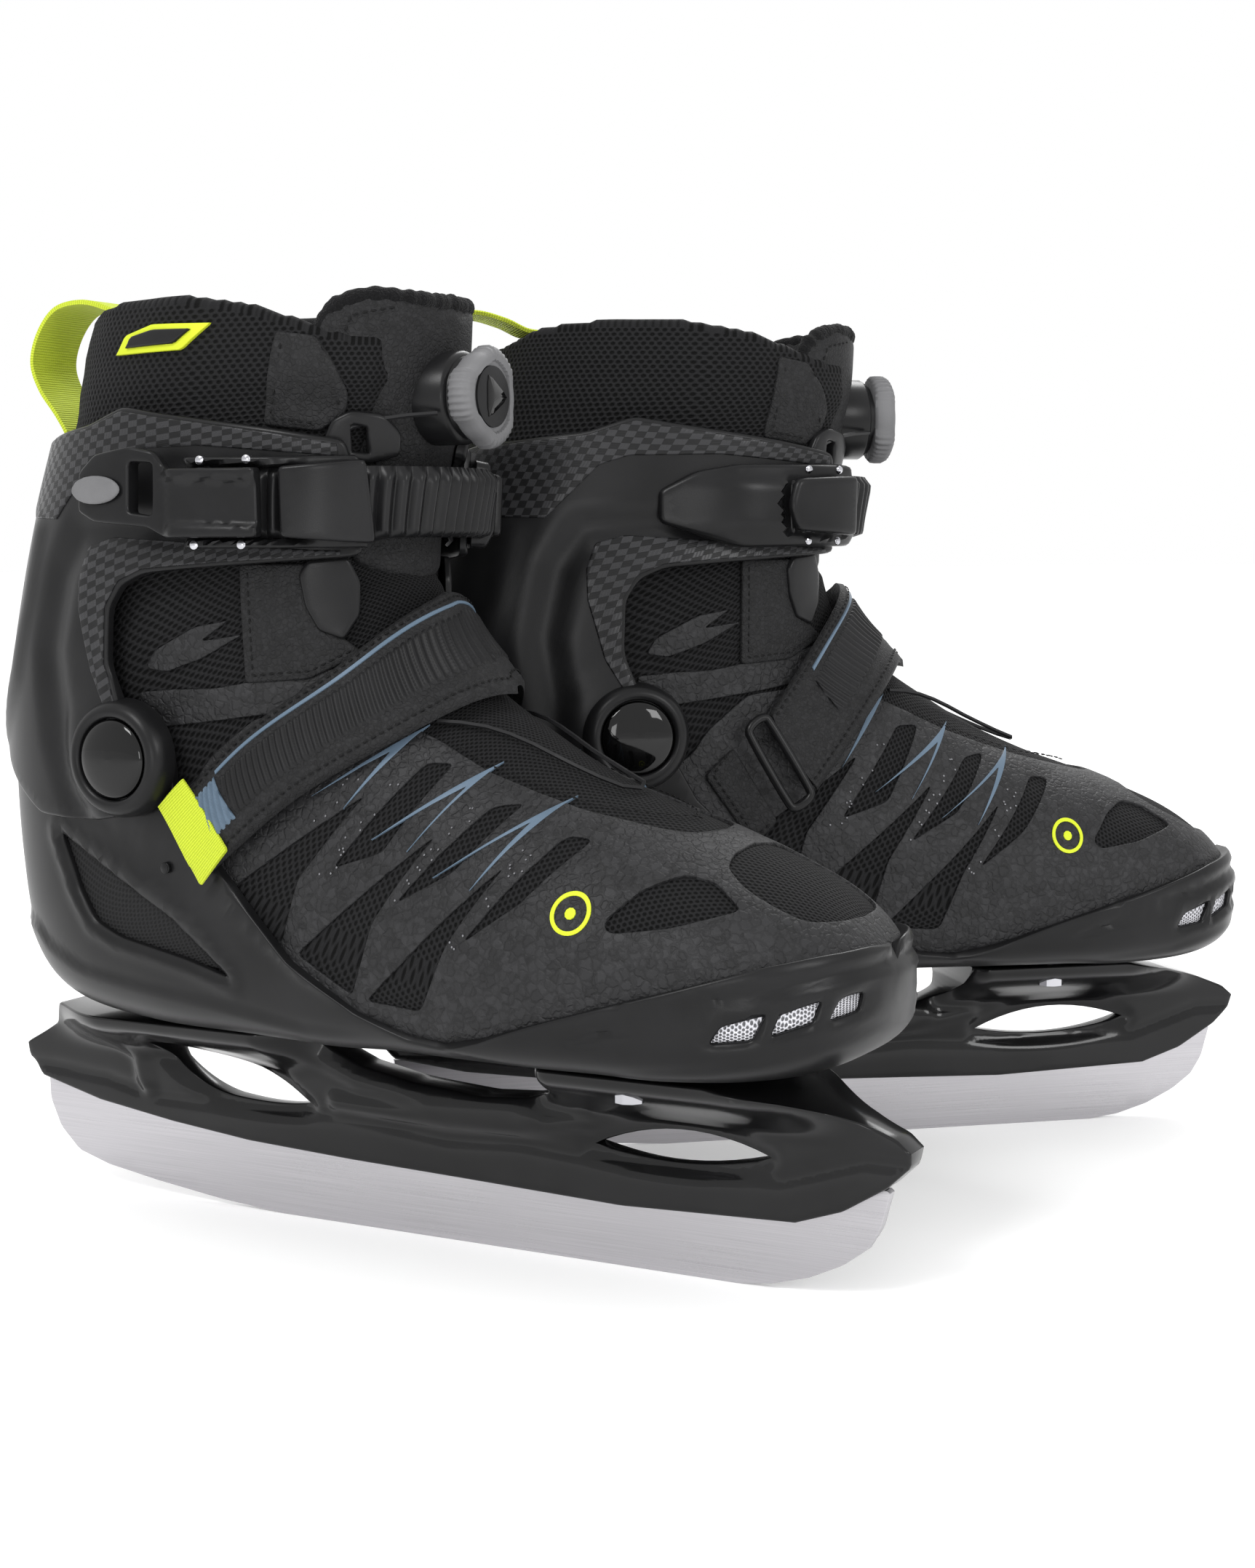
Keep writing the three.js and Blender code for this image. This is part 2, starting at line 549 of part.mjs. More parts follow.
// ---------------------------------------------------------------- finishes and the pair
const finish = (color, roughness, metalness = 0) => new THREE.MeshStandardMaterial({ color, roughness, metalness });
const steel = finish(0xc9ccd0, 0.28, 1);
const glossBlack = finish(0x141417, 0.22);
const mattBlack = finish(0x1b1b1e, 0.5);
const softBlack = finish(0x17171a, 0.85);
const suedeGrey = finish(0x26262a, 0.75);
const greyRubber = finish(0x77797c, 0.6);
const limeWebbing = finish(0xcfe33a, 0.7);

const pieces = {
  runner: [runner(), steel],
  blade_holder: [holder(), glossBlack],
  front_bolt_lateral: [frontBolt(1), steel],
  front_bolt_medial: [frontBolt(-1), steel],
  rear_bolt: [rearScrew(), steel],
  sole_shell: [shell(), mattBlack],
  boot_foot: [bootFoot(), suedeGrey],
  boot_collar: [collar(), softBlack],
  footbed: [footbed(), softBlack],
  tongue: [tongue(), suedeGrey],
  cuff: [cuff(), mattBlack],
  pivot_lateral: [pivotBolt(1), glossBlack],
  pivot_medial: [pivotBolt(-1), glossBlack],
  buckle_base: [buckleBase(), mattBlack],
  buckle_lever: [buckleLever(), mattBlack],
  buckle_tip: [buckleTip(), greyRubber],
  ladder_strap: [ladderStrap(), mattBlack],
  press_housing: [pressHousing(), mattBlack],
  press_button: [pressButton(), mattBlack],
  dial_base: [dialBase(), mattBlack],
  dial_spool: [dialSpool(), greyRubber],
  dial_knob: [dialKnob(), greyRubber],
  lace_upper: [laceUpper(), softBlack],
  lace_lower: [laceLower(), softBlack],
  guide_upper_lateral: [upperGuide(1), mattBlack],
  guide_upper_medial: [upperGuide(-1), mattBlack],
  instep_strap: [instepStrap(), suedeGrey],
  strap_ring: [strapRing(), steel],
  ring_anchor: [ringAnchor(), suedeGrey],
  pull_loop: [pullLoop(), limeWebbing],
};

// Turn a solid back into a mesh; the right skate's solids are mirrored first
function meshOf(name, solid, material, mirrored) {
  const placed = mirrored ? solid.mirror([0, 1, 0]) : solid;
  const { vertProperties, triVerts } = placed.getMesh();
  const geometry = new THREE.BufferGeometry();
  geometry.setAttribute('position', new THREE.BufferAttribute(new Float32Array(vertProperties), 3));
  geometry.setIndex(new THREE.BufferAttribute(new Uint32Array(triVerts), 1));
  geometry.computeVertexNormals();
  const mesh = new THREE.Mesh(geometry, material);
  mesh.name = name;
  return mesh;
}

function skate(sideName, mirrored) {
  const group = new THREE.Group();
  for (const [name, [solid, material]] of Object.entries(pieces)) {
    group.add(meshOf(`${sideName}_${name}`, solid, material, mirrored));
  }
  return group;
}

const right = skate('right', true);
right.rotation.z = -THREE.MathUtils.degToRad(toeSpread);
const left = skate('left', false);
left.rotation.z = THREE.MathUtils.degToRad(toeSpread);
left.position.set(leftAhead, pivotApart, 0);

// The origin is the middle of the pair's box, on the ice
const pair = new THREE.Group();
pair.add(right, left);
pair.updateMatrixWorld(true);
const extent = new THREE.Box3().setFromObject(pair, true);
const centre = extent.getCenter(new THREE.Vector3());
pair.position.set(-centre.x, -centre.y, -extent.min.z);
pair.updateMatrixWorld(true);

export default pair;
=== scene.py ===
"""A pair of recreational soft-boot ice skates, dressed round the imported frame.

Every piece is worked out once for the left skate, in millimetres: x forward from the ankle pivot,
y outwards, z up from the ice. A Place then sets it into the frame, mirrored for the right skate.
"""

import json
import logging
import math
from dataclasses import dataclass, field
from enum import Enum
from typing import Callable, Iterable, Optional, Sequence

import bpy
import numpy as np
from mathutils import Matrix, Vector, geometry

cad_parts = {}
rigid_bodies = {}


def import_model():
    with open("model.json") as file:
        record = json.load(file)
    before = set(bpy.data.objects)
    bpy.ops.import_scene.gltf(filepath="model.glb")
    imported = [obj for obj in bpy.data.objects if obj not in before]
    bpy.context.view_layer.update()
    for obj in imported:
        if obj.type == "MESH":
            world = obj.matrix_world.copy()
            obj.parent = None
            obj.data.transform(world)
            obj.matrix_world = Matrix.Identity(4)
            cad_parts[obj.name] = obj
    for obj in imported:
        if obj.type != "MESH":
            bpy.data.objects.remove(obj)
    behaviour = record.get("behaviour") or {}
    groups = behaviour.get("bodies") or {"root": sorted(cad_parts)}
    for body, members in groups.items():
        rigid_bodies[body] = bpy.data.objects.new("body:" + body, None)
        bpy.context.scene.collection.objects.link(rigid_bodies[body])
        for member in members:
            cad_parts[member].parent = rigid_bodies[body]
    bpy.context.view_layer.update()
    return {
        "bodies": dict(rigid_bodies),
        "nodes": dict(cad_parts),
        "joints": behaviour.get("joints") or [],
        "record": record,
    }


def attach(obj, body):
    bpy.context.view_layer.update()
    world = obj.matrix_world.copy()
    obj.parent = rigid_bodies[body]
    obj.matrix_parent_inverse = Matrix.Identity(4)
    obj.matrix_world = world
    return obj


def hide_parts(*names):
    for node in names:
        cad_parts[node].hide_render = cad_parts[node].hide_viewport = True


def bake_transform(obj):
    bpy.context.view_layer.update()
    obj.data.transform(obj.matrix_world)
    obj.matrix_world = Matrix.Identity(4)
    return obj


Array = np.ndarray
Points2 = Sequence[tuple[float, float]]
log = logging.getLogger("skates")

MM = 0.001


class Side(Enum):
    """The two skates; the value is the sign that y takes in the frame."""

    RIGHT = -1
    LEFT = 1

    @property
    def word(self) -> str:
        """The side's name as the frame writes it."""
        return self.name.lower()


# ---------------------------------------------------------------- mesh data
@dataclass
class Shape:
    """Mesh data in skate millimetres: points, faces of three or four corners, uv and paint numbers."""

    points: Array
    faces: list[Array]
    uv: Array
    paint: list[Array] = field(default_factory=list)

    def __post_init__(self) -> None:
        """Gives every face the first material when none is stated."""
        if not self.paint:
            self.paint = [np.zeros(len(f), int) for f in self.faces]


def join(shapes: Iterable[Shape]) -> Shape:
    """Puts several shapes into one.

    Args:
        shapes: the shapes to join.

    Returns:
        One shape with all points and faces.
    """
    points, uv, faces, paint, start = [], [], [], [], 0
    for shape in shapes:
        points.append(shape.points)
        uv.append(shape.uv)
        faces += [f + start for f in shape.faces]
        paint += shape.paint
        start += len(shape.points)
    return Shape(np.vstack(points), faces, np.vstack(uv), paint)


def unit(vectors: Array) -> Array:
    """Vectors of length one, along the last axis."""
    return vectors / np.maximum(np.linalg.norm(vectors, axis=-1, keepdims=True), 1e-9)


def smoothstep(low: float, high: float, value: Array) -> Array:
    """Zero under low, one over high, with a smooth rise between: 3t2 - 2t3."""
    t = np.clip((value - low) / (high - low), 0, 1)
    return t * t * (3 - 2 * t)


def ripple(points: Array, pitch: float, seed: int = 1) -> Array:
    """Fixed soft noise: the mean of six sine waves in directions drawn from a seeded generator.

    Args:
        points: places of any dimension.
        pitch: the waves' mean length.
        seed: which set of directions.

    Returns:
        One value per place, about -1 to 1.
    """
    draw = np.random.default_rng(seed)
    total = np.zeros(len(points))
    for _ in range(6):
        way = unit(draw.normal(size=points.shape[1])) * (2 * np.pi / pitch) * draw.uniform(0.7, 1.5)
        total += np.sin(points @ way + draw.uniform(0, 6.28))
    return total / 3.2


def outline(points: Points2, soft: float = 1.5, step: float = 1.5, closed: bool = True) -> Array:
    """An even run of places along straight sides, its corners eased by repeated averaging.

    Args:
        points: the corners.
        soft: about how far a corner is rounded, in mm.
        step: distance between places.
        closed: whether the last corner joins the first.

    Returns:
        The places, n by 2.
    """
    corners = np.array(points, float)
    if closed:
        corners = np.vstack([corners, corners[:1]])
    run = np.r_[0, np.cumsum(np.linalg.norm(np.diff(corners, axis=0), axis=1))]
    count = max(int(round(run[-1] / step)), 8)
    where = np.linspace(0, run[-1], count + 1)
    path = np.stack([np.interp(where, run, corners[:, k]) for k in range(2)], 1)
    if closed:
        path = path[:-1]
    for _ in range(int(2 * (soft / step) ** 2)):
        middle = (np.roll(path, 1, 0) + np.roll(path, -1, 0)) / 2
        eased = path * 0.5 + middle * 0.5
        if not closed:
            eased[0], eased[-1] = path[0], path[-1]
        path = eased
    return path


def inside(places: Array, loop: Array) -> Array:
    """Whether each place lies inside a closed loop, by counting the sides that a ray crosses.

    Args:
        places: places, n by 2.
        loop: the closed loop, m by 2.

    Returns:
        One truth value for each place.
    """
    x, y = places[:, 0][:, None], places[:, 1][:, None]
    ax, ay = loop[:, 0][None], loop[:, 1][None]
    bx, by = np.roll(loop[:, 0], -1)[None], np.roll(loop[:, 1], -1)[None]
    crosses = (ay > y) != (by > y)
    with np.errstate(divide="ignore", invalid="ignore"):
        at = (bx - ax) * (y - ay) / (by - ay) + ax
    return (np.sum(crosses & (x < at), axis=1) % 2).astype(bool)


def away(places: Array, line: Points2) -> Array:
    """The distance from each place to a line of straight stretches.

    Args:
        places: places, n by 2.
        line: corners of the line.

    Returns:
        One distance for each place.
    """
    best = np.full(len(places), 1e9)
    corners = np.array(line, float)
    for a, b in zip(corners[:-1], corners[1:]):
        along = b - a
        t = np.clip((places - a) @ along / max(along @ along, 1e-9), 0, 1)
        best = np.minimum(best, np.linalg.norm(places - a - t[:, None] * along, axis=1))
    return best


# ---------------------------------------------------------------- surfaces
class Skin:
    """A surface with two parameters and a flat picture of it in which outlines are filled."""

    def at(self, place: Array, height: Array | float) -> Array:
        """Points at a height over the surface."""
        raise NotImplementedError

    def flat(self, place: Array) -> Array:
        """The parameters' place in the flat picture."""
        raise NotImplementedError

    def back(self, spot: Array) -> Array:
        """The parameters of a place in the flat picture."""
        raise NotImplementedError

    def uv(self, place: Array) -> Array:
        """A surface map in millimetres."""
        raise NotImplementedError

    def lattice(self, spacing: float) -> Array:
        """Parameters of an even lattice over the surface."""
        raise NotImplementedError


class BootSkin(Skin):
    """The boot's outer surface, a family of sections from the toe tip (row 0) to the top (row 20).

    A section has a bottom or back point and a top or front point, and the superellipse
    |along|^p + |across|^p = 1 about the line between them. Angle 0 is the top or front,
    180 the bottom or back and 90 outwards. The flat picture is polar about the toe tip, with
    the logarithm of the radius growing as the rows' distance over the mean section radius.
    """

    # bottom x, z, top x, z, half width, shift inwards, widest place, squareness below and above
    SECTIONS = np.array([
        [218.0, 84.0, 218.5, 88.5, 4.0, 6.0, 0.50, 2.2, 2.2],
        [216.5, 78.5, 217.0, 94.0, 13.0, 6.0, 0.50, 2.5, 2.2],
        [212.5, 73.0, 213.5, 100.0, 24.0, 5.5, 0.45, 3.0, 2.2],
        [204.0, 69.0, 206.0, 107.5, 34.0, 5.0, 0.40, 4.0, 2.2],
        [189.0, 67.0, 193.0, 116.0, 42.0, 4.0, 0.36, 5.0, 2.2],
        [166.0, 66.0, 170.0, 126.0, 47.5, 2.5, 0.34, 5.0, 2.1],
        [138.0, 66.0, 147.0, 134.5, 49.5, 1.0, 0.33, 5.0, 2.1],
        [106.0, 66.0, 127.0, 144.0, 48.5, 0.0, 0.33, 5.0, 2.0],
        [70.0, 66.0, 110.0, 154.5, 46.0, 0.0, 0.35, 5.0, 2.0],
        [32.0, 66.0, 97.0, 163.5, 43.5, 0.0, 0.38, 4.5, 2.0],
        [-8.0, 66.0, 86.0, 173.5, 41.5, 0.0, 0.42, 4.0, 2.1],
        [-42.0, 70.0, 78.5, 184.0, 40.5, 0.0, 0.46, 3.2, 2.1],
        [-60.0, 83.0, 75.5, 192.0, 40.0, 0.0, 0.50, 2.6, 2.2],
        [-66.5, 106.0, 74.0, 199.0, 41.0, 0.0, 0.50, 2.3, 2.3],
        [-68.5, 134.0, 74.0, 206.0, 42.0, 0.0, 0.50, 2.2, 2.3],
        [-67.0, 160.0, 74.5, 213.0, 42.0, 0.0, 0.50, 2.2, 2.3],
        [-62.0, 187.0, 76.0, 221.0, 41.0, 0.0, 0.50, 2.2, 2.3],
        [-55.0, 214.0, 78.5, 232.0, 40.0, 0.0, 0.50, 2.2, 2.3],
        [-46.0, 240.0, 82.5, 246.0, 39.5, 0.0, 0.50, 2.2, 2.3],
        [-39.0, 261.0, 85.5, 261.0, 39.5, 0.0, 0.50, 2.2, 2.3],
        [-35.0, 292.0, 87.5, 292.0, 39.5, 0.0, 0.50, 2.2, 2.3],
    ])
    TOP = 20.0
    MIDDLING = 42       # a middling radius, in mm

    def __init__(self) -> None:
        """Works out the perimeter, the run along the rows and the logarithmic radius."""
        self.rows = np.linspace(0, self.TOP, 401)
        turn = np.linspace(0, 360, 73)[:-1]
        rings = self.point(np.repeat(self.rows, 72), np.tile(turn, 401)).reshape(401, 72, 3)
        around = np.linalg.norm(np.roll(rings, -1, 1) - rings, axis=2).sum(1)
        self.perimeter = around
        stride = np.linalg.norm(np.diff(rings, axis=0), axis=2).mean(1)
        self.run = np.r_[0, np.cumsum(stride)]
        radius = around / (2 * np.pi)
        growth = stride / ((radius[1:] + radius[:-1]) / 2)
        self.logr = np.r_[0, np.cumsum(growth)]

    def section(self, row: Array) -> Array:
        """Catmull-Rom blend of the section table at fractional rows.

        Args:
            row: rows of the section table, fractional.

        Returns:
            The nine section values at each row.
        """
        row = np.clip(row, 0, self.TOP)
        start = np.minimum(row.astype(int), int(self.TOP) - 1)
        f = (row - start)[:, None]
        last = len(self.SECTIONS) - 1
        a, b, c, d = (self.SECTIONS[np.clip(start + k, 0, last)] for k in (-1, 0, 1, 2))
        return b + 0.5 * f * (c - a + f * (2 * a - 5 * b + 4 * c - d + f * (3 * (b - c) + d - a)))

    def point(self, row: Array, angle: Array) -> Array:
        """Surface points of rows and angles (degrees).

        Args:
            row: rows of the section table, fractional.
            angle: angles in degrees.

        Returns:
            Points, n by 3.
        """
        s = self.section(np.asarray(row, float))
        turn = np.radians(angle)
        cos, sin = np.cos(turn), np.sin(turn)
        power = 2 / np.where(cos >= 0, s[:, 8], s[:, 7])
        along = np.sign(cos) * np.abs(cos) ** power
        across = np.sign(sin) * np.abs(sin) ** power
        share = s[:, 6] + np.where(along >= 0, 1 - s[:, 6], s[:, 6]) * along
        return np.stack([s[:, 0] + (s[:, 2] - s[:, 0]) * share, s[:, 4] * across - s[:, 5],
                         s[:, 1] + (s[:, 3] - s[:, 1]) * share], 1)

    def slopes(self, row: Array, angle: Array) -> tuple[Array, Array]:
        """Steps of the surface point for one row and for one degree.

        Args:
            row: rows of the section table, fractional.
            angle: angles in degrees.

        Returns:
            The two steps, each n by 3.
        """
        d = 0.02
        by_row = (self.point(row + d, angle) - self.point(row - d, angle)) / (2 * d)
        low = np.clip(row, d, self.TOP - d)
        by_row = np.where(((row < d) | (row > self.TOP - d))[:, None],
                          (self.point(low + d, angle) - self.point(low - d, angle)) / (2 * d), by_row)
        by_angle = (self.point(row, angle + 1) - self.point(row, angle - 1)) / 2
        return by_row, by_angle

    def normal(self, row: Array, angle: Array) -> Array:
        """Outward unit normals."""
        by_row, by_angle = self.slopes(row, angle)
        return unit(np.cross(by_angle, by_row))

    def at(self, place: Array, height: Array | float) -> Array:
        """Points at a height over the skin, from (row, angle) pairs."""
        height = np.broadcast_to(np.asarray(height, float), (len(place),))
        return self.point(place[:, 0], place[:, 1]) + self.normal(place[:, 0], place[:, 1]) * height[:, None]

    def flat(self, place: Array) -> Array:
        """Polar place about the toe tip, the radius growing exponentially."""
        radius = np.exp(np.interp(place[:, 0], self.rows, self.logr))
        turn = np.radians(place[:, 1])
        return np.stack([radius * np.cos(turn), -radius * np.sin(turn)], 1)

    def back(self, spot: Array) -> Array:
        """Row and angle of a place in the flat picture."""
        radius = np.linalg.norm(spot, axis=1)
        row = np.interp(np.log(np.maximum(radius, 1.0)), self.logr, self.rows)
        return np.stack([row, np.degrees(np.arctan2(-spot[:, 1], spot[:, 0]))], 1)

    def uv(self, place: Array) -> Array:
        """Millimetres around (at a middling radius of 42 mm) and along the rows."""
        return np.stack([np.radians(place[:, 1]) * self.MIDDLING, np.interp(place[:, 0], self.rows, self.run)], 1)

    def lattice(self, spacing: float) -> Array:
        """Rings of rows one spacing apart, each with as many angles as its perimeter needs.

        Args:
            spacing: lattice step in mm.

        Returns:
            (row, angle) pairs.
        """
        rows = np.interp(np.arange(0, self.run[-1], spacing), self.run, self.rows)
        out = []
        for i, row in enumerate(rows):
            count = max(int(np.interp(row, self.rows, self.perimeter) / spacing), 8)
            angle = (np.arange(count) + 0.5 * (i % 2)) * 360 / count
            out.append(np.stack([np.full(count, row), angle], 1))
        return np.vstack(out)

    def locate(self, x: Array, z: Array) -> Array:
        """The row and angle (0 to 180) of side-view places on the outer side.

        The row is where the place lies on the section's line: the cross product of the line
        and the place changes sign. The angle is the superellipse's for the share along it.

        Args:
            x: side-view x in mm.
            z: side-view z in mm.

        Returns:
            (row, angle) pairs.
        """
        x, z = np.atleast_1d(np.asarray(x, float)), np.atleast_1d(np.asarray(z, float))
        s = self.section(self.rows)
        ax, az, bx, bz = s[:, 0], s[:, 1], s[:, 2], s[:, 3]
        side = (bx - ax)[None] * (z[:, None] - az) - (bz - az)[None] * (x[:, None] - ax)
        share = ((x[:, None] - ax) * (bx - ax) + (z[:, None] - az) * (bz - az)) / ((bx - ax) ** 2 + (bz - az) ** 2)
        flips = np.sign(side[:, 1:]) != np.sign(side[:, :-1])
        over = np.maximum(np.abs(share[:, 1:] - 0.5) - 0.5, 0)
        cost = np.where(flips, over, 9.0)
        best = np.argmin(cost, axis=1)
        pick = np.arange(len(x))
        lost = cost[pick, best] > 8
        miss = 60 * np.maximum(np.abs(share - 0.5) - 0.5, 0)
        near = np.argmin(np.abs(side) / np.hypot(bx - ax, bz - az) + miss, axis=1)
        a, b = side[pick, best], side[pick, best + 1]
        t = np.clip(np.where(np.abs(a - b) > 1e-9, a / np.where(np.abs(a - b) > 1e-9, a - b, 1), 0.5), 0, 1)
        row = np.where(lost, self.rows[near], self.rows[best] + t * (self.rows[1] - self.rows[0]))
        c = self.section(row)
        share = ((x - c[:, 0]) * (c[:, 2] - c[:, 0]) + (z - c[:, 1]) * (c[:, 3] - c[:, 1])) / (
            (c[:, 2] - c[:, 0]) ** 2 + (c[:, 3] - c[:, 1]) ** 2)
        share = np.clip(share, 0, 1)
        above = share >= c[:, 6]
        tau = np.where(above, (share - c[:, 6]) / (1 - c[:, 6]), (c[:, 6] - share) / c[:, 6])
        turn = np.degrees(np.arccos(np.clip(tau, 0, 1) ** (np.where(above, c[:, 8], c[:, 7]) / 2)))
        return np.stack([row, np.where(above, turn, 180 - turn)], 1)

    def half_width(self, x: float, z: float) -> float:
        """The surface's y at a side-view place, on the outer side."""
        return float(self.at(self.locate(x, z), 0.0)[0, 1])


class FlatSkin(Skin):
    """The plane y = 0 seen from the outer side: parameters are x and z in millimetres."""

    def __init__(self, low: tuple[float, float], high: tuple[float, float]) -> None:
        """Keeps the lattice's corners."""
        self.low, self.high = low, high

    def at(self, place: Array, height: Array | float) -> Array:
        """Points at y = height."""
        height = np.broadcast_to(np.asarray(height, float), (len(place),))
        return np.stack([place[:, 0], height, place[:, 1]], 1)

    def slopes(self, row: Array, angle: Array) -> tuple[Array, Array]:
        """One millimetre along x and one along z."""
        return np.tile([1.0, 0, 0], (len(row), 1)), np.tile([0, 0, 1.0], (len(row), 1))

    def normal(self, row: Array, angle: Array) -> Array:
        """The outward direction, +y."""
        return np.tile([0, 1.0, 0], (len(row), 1))

    def flat(self, place: Array) -> Array:
        """The place itself, turned so that it is seen from outside."""
        return place * [-1, 1]

    def back(self, spot: Array) -> Array:
        """Undoes flat()."""
        return spot * [-1, 1]

    def uv(self, place: Array) -> Array:
        """x and z."""
        return place

    def lattice(self, spacing: float) -> Array:
        """Rows of points, every other one moved by half a step.

        Args:
            spacing: lattice step in mm.

        Returns:
            (x, z) pairs.
        """
        xs = np.arange(self.low[0], self.high[0], spacing)
        zs = np.arange(self.low[1], self.high[1], spacing * 0.87)
        grid = [np.stack([xs + spacing / 2 * (i % 2), np.full(len(xs), z)], 1) for i, z in enumerate(zs)]
        return np.vstack(grid)


BOOT = BootSkin()
Relief = Callable[[Array, Array], Array]


def raised(path: Array, height: float) -> Array:
    """The (row, angle) pairs whose points at a height over the skin have these side-view places.

    The aimed place is moved by four fifths of what the raised point misses by, ten times.

    Args:
        path: side-view places, n by 2.
        height: height over the skin in mm.

    Returns:
        (row, angle) pairs.
    """
    place = BOOT.locate(path[:, 0], path[:, 1])
    if height > 0:
        aim = path.copy()
        for _ in range(10):
            aim -= 0.8 * (BOOT.at(place, height)[:, [0, 2]] - path)
            place = BOOT.locate(aim[:, 0], aim[:, 1])
    return place


def outer(points: Points2, soft: float = 1.5, step: float = 1.5, height: float = 0.0) -> Array:
    """A side-view outline on the outer side as (row, angle) pairs, true at a height over the skin."""
    return raised(outline(points, soft, step), height)


def inner(points: Points2, soft: float = 1.5, step: float = 1.5, height: float = 0.0) -> Array:
    """A side-view outline on the inner side, run the other way so that it keeps its hand."""
    return (outer(points, soft, step, height) * [1, -1])[::-1]


def wrapped(points: Points2, soft: float = 1.5, step: float = 1.5) -> Array:
    """An outline that crosses the middle: its outer half is given, and mirrored.

    Args:
        points: side-view places from the middle line round the outer side to the middle line.
        soft: corner rounding in mm.
        step: distance between places.

    Returns:
        The closed outline as (row, angle) pairs.
    """
    path = outline(points, soft, step, closed=False)
    half = BOOT.locate(path[:, 0], path[:, 1])
    for end in (0, -1):
        half[end, 1] = 0.0 if half[end, 1] < 90 else 180.0
    other = half[::-1][1:-1] * [1, -1]
    return np.vstack([half, other])


